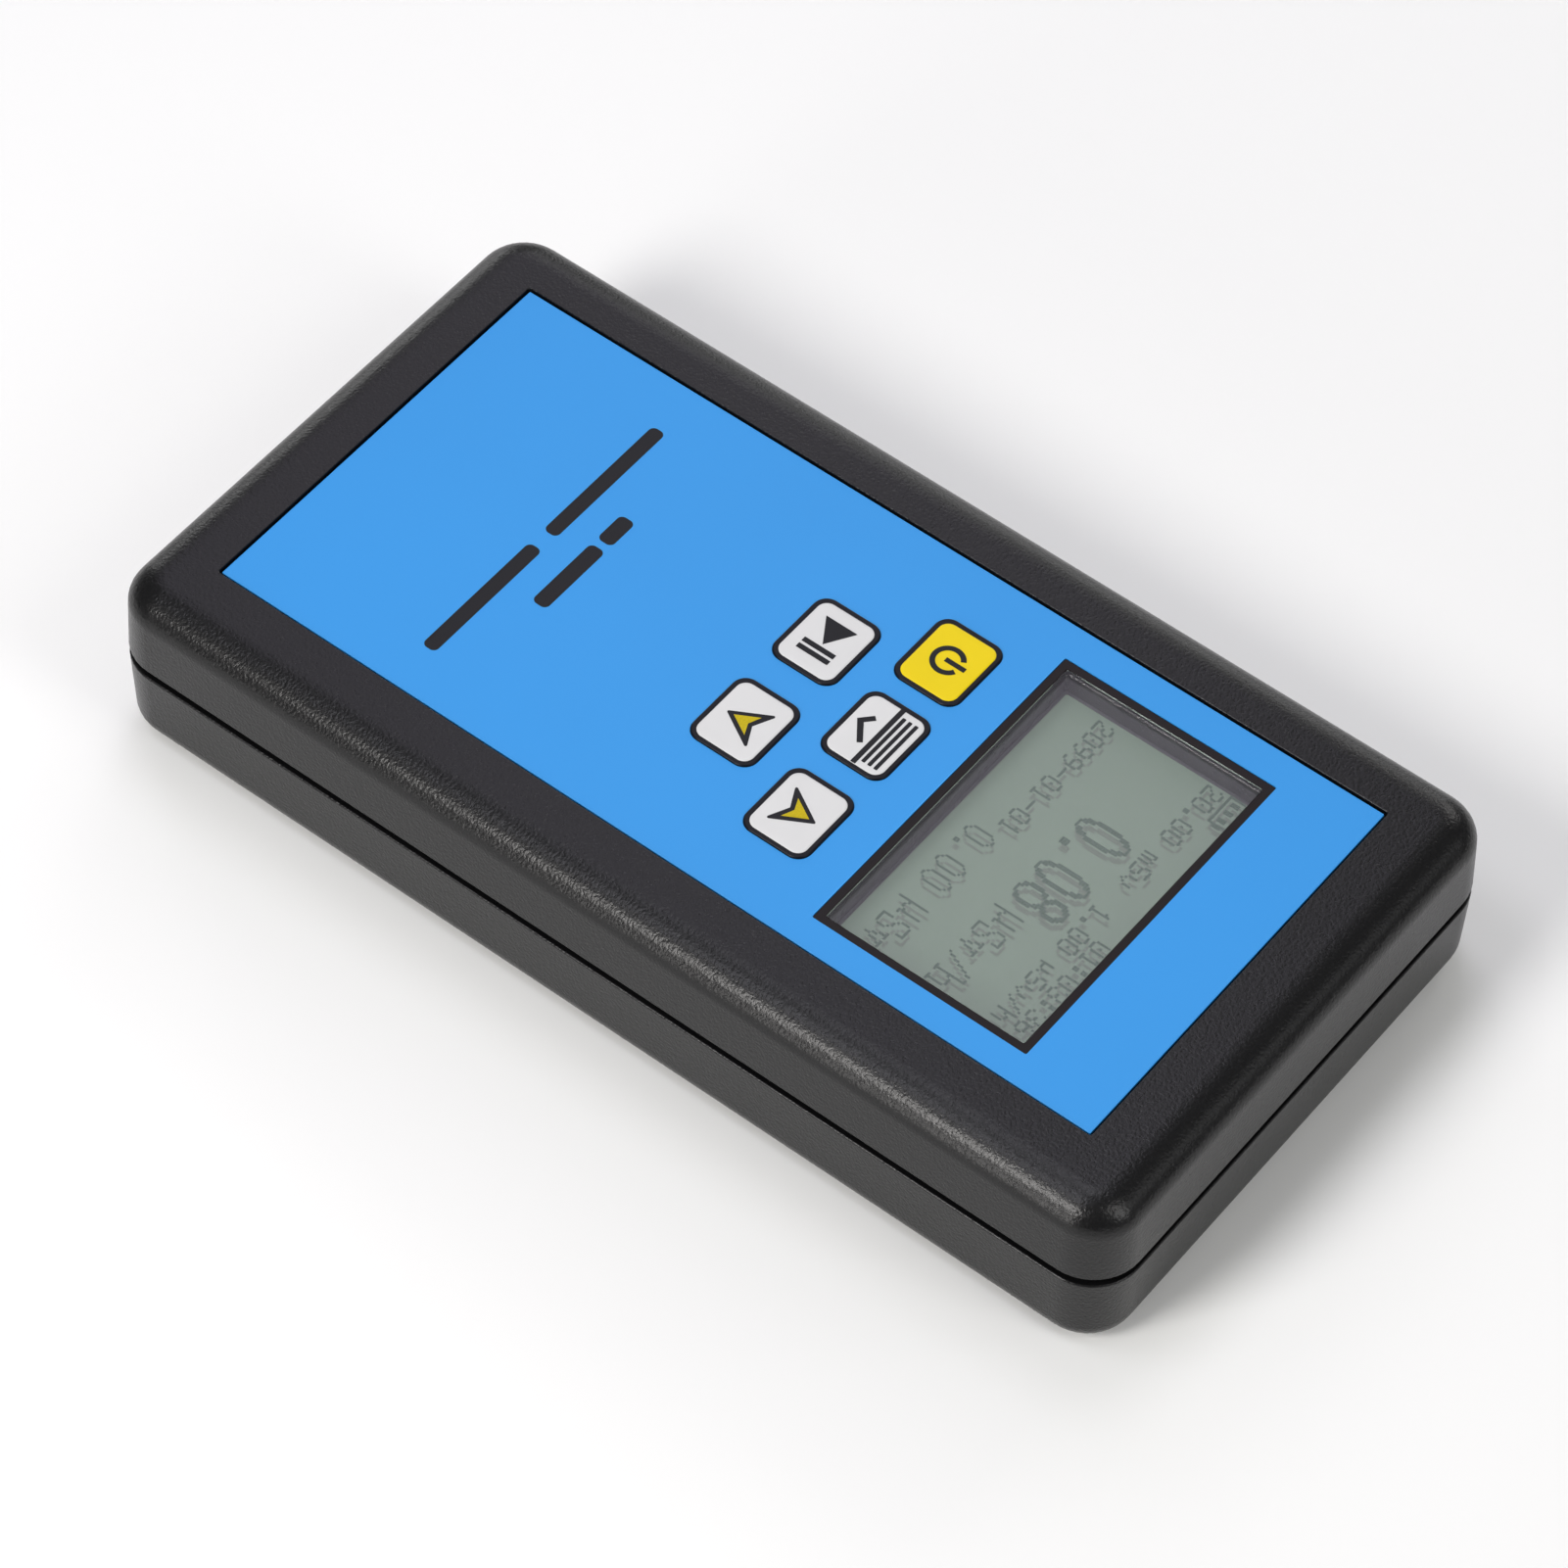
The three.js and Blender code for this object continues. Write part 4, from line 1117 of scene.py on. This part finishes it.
def case_screw(index):
    """A cross-recessed screw, its head towards the rear."""
    name = f"case_screw_{index}"
    low, high = node_box(name)
    x, y = node_middle(name)
    profile = [(radius, low.z + rise) for radius, rise in SCREW_PROFILE]
    profile += [(radius, high.z - back) for radius, back in SCREW_TIP]
    rings = [at_height(circle(radius, x, y, SCREW_STEPS), z) for radius, z in profile]
    screw = loft(f"screw_{index}", rings)
    deep = low.z + CROSS_DEPTH
    for half_x, half_y in (CROSS_HALF, CROSS_HALF[::-1]):
        slot = box_piece("slot", (x - half_x, y - half_y, low.z - 1), (x + half_x, y + half_y, deep))
        cut(screw, slot)
    return dress(smooth(screw), SCREW, "root", name)


def finish_cad_nodes():
    """Gives each CAD node that stays its own procedural material."""
    looks = {
        "display_holder": RIM_BLACK,
        "display_backlight": moulded("diffuser", (0.8, 0.8, 0.76), 0.4),
        "display_connector": moulded("zebra_rubber", (0.02, 0.02, 0.022), 0.7),
        "main_board": board_mask(),
        "geiger_tube": metal("tube_coating", (0.2, 0.15, 0.1), 0.25, 0.6),
        "transformer": moulded("ferrite", (0.05, 0.048, 0.045), 0.6),
        "reservoir_capacitor": moulded("capacitor_sleeve", (0.02, 0.05, 0.16), 0.3),
        "microcontroller": moulded("chip_epoxy", (0.02, 0.02, 0.021), 0.55),
        "buzzer": moulded("buzzer_can", (0.02, 0.02, 0.02), 0.45),
    }
    tinned = metal("tinned", (0.62, 0.62, 0.63), 0.3)
    steel = metal("nickel", (0.66, 0.65, 0.62), 0.22)
    jacket = metal("cell_jacket", (0.22, 0.24, 0.28), 0.32, 0.5)
    families = (
        ("cell_", jacket),
        ("contact_", steel),
        ("spring_", steel),
        ("plunger_", RIM_BLACK),
        ("switch_", tinned),
        ("tube_clip", tinned),
        ("clock_", tinned),
        ("board_screw", SCREW),
    )
    for name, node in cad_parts.items():
        look = looks.get(name)
        for start, shared in families:
            if name.startswith(start):
                look = shared
        if look:
            for slot in node.material_slots:
                slot.material = look


# ---- stage ----

AZIMUTH = math.radians(126.45)   # the camera's way round from -Y
ELEVATION = math.radians(52.55)
ROLL = math.radians(2.06)
DISTANCE = 776.9
AIM = Vector((FILM_X + 12.0, FILM_Y + 7.5, FILM_TOP))
LENS = 148.86
SENSOR = 36.0

FLOOR_HALF = 4000
FLOOR_DROP = 0.0002              # metres under the case
GROUND_GLOW = 0.04
AMBIENT = 0.157
NEUTRAL = (1.0, 1.0, 1.0)
WARM = (1.0, 0.975, 0.955)
COOL = (0.93, 0.92, 1.0)
BLUISH = (0.88, 0.82, 1.0)
SOFTBOX_AWAY = 0.8               # metres from the case
SOFTBOX = 0.28                   # metres across
PANEL = 0.52
# Name, degrees round from +X, degrees up from the floor, watts, colour, metres across.
SOFTBOXES = (
    ("right_high", 346, 42, 3.3, WARM, SOFTBOX),
    ("right_low", 350, 12, 1.2, WARM, SOFTBOX),
    ("display_end", 90, 30, 0.8, NEUTRAL, SOFTBOX),
    ("display_end_high", 90, 50, 0.68, WARM, SOFTBOX),
    ("display_left", 120, 30, 0.18, NEUTRAL, SOFTBOX),
    ("left", 180, 30, 0.58, WARM, SOFTBOX),
    ("left_low", 198, 12, 0.35, NEUTRAL, SOFTBOX),
    ("left_keys", 210, 30, 0.3, NEUTRAL, SOFTBOX),
    ("keys_end_low", 240, 12, 0.45, NEUTRAL, SOFTBOX),
    ("above_left", 218, 74, 0.66, COOL, SOFTBOX),
    ("above_right", 318, 70, 0.85, COOL, SOFTBOX),
    ("over_left_shoulder", 225, 47, 0.64, BLUISH, PANEL),
)


def camera():
    back = Vector((math.sin(AZIMUTH) * math.cos(ELEVATION), -math.cos(AZIMUTH) * math.cos(ELEVATION),
                   math.sin(ELEVATION)))
    level = Vector((math.cos(AZIMUTH), math.sin(AZIMUTH), 0))
    rise = back.cross(level)
    right = level * math.cos(ROLL) + rise * math.sin(ROLL)
    up = rise * math.cos(ROLL) - level * math.sin(ROLL)
    data = bpy.data.cameras.new("camera")
    data.lens = LENS
    data.sensor_width = SENSOR
    data.clip_start = 0.05
    data.clip_end = 20
    eye = bpy.data.objects.new("camera", data)
    turn = Matrix((right, up, back)).transposed().to_4x4()
    eye.matrix_world = Matrix.Translation((AIM + back * DISTANCE) * MM) @ turn
    bpy.context.scene.collection.objects.link(eye)
    bpy.context.scene.camera = eye


def floor():
    half = FLOOR_HALF
    corners = [(-half, -half, 0), (half, -half, 0), (half, half, 0), (-half, half, 0)]
    ground = make("ground", corners, [(0, 1, 2, 3)])
    ground.location.z = -FLOOR_DROP
    look = Recipe("ground_white", (0.9, 0.9, 0.9), 0.8)
    look.tint(look.noise(3, 2.0), (0.925, 0.933, 0.918), (0.935, 0.943, 0.928))
    look.glow(NEUTRAL, GROUND_GLOW)
    ground.data.materials.append(look.material)


def softbox(name, around, up, watts, color, size):
    """A round soft light on a dome about the case, facing the case."""
    around = math.radians(around)
    up = math.radians(up)
    way = Vector((math.cos(around) * math.cos(up), math.sin(around) * math.cos(up), math.sin(up)))
    data = bpy.data.lights.new(name, "AREA")
    data.shape = "DISK"
    data.size = size
    data.energy = watts
    data.color = color
    lamp = bpy.data.objects.new(name, data)
    lamp.location = way * SOFTBOX_AWAY + Vector((0, 0, HEIGHT / 2 * MM))
    lamp.rotation_mode = "QUATERNION"
    lamp.rotation_quaternion = way.to_track_quat("Z", "Y")
    bpy.context.scene.collection.objects.link(lamp)


def lights():
    for values in SOFTBOXES:
        softbox(*values)
    world = bpy.data.worlds.new("studio")
    world.use_nodes = True
    background = world.node_tree.nodes["Background"]
    background.inputs["Color"].default_value = (*NEUTRAL, 1)
    background.inputs["Strength"].default_value = AMBIENT
    bpy.context.scene.world = world
    bpy.context.scene.view_settings.view_transform = "Standard"


camera()
floor()
lights()
front_shell()
rear_shell()
battery_door()
overlay()
window_border()
window_pane()
for key_name in KEY_NAMES:
    key_cap(key_name, KEY_YELLOW if key_name == "power" else KEY_WHITE)
power_icon()
menu_icon()
arrow_icon("up", 1)
arrow_icon("down", -1)
play_icon()
printed_bars()
display_reflector()
display_dots()
display_mask()
for number in range(1, 5):
    case_screw(number)
finish_cad_nodes()
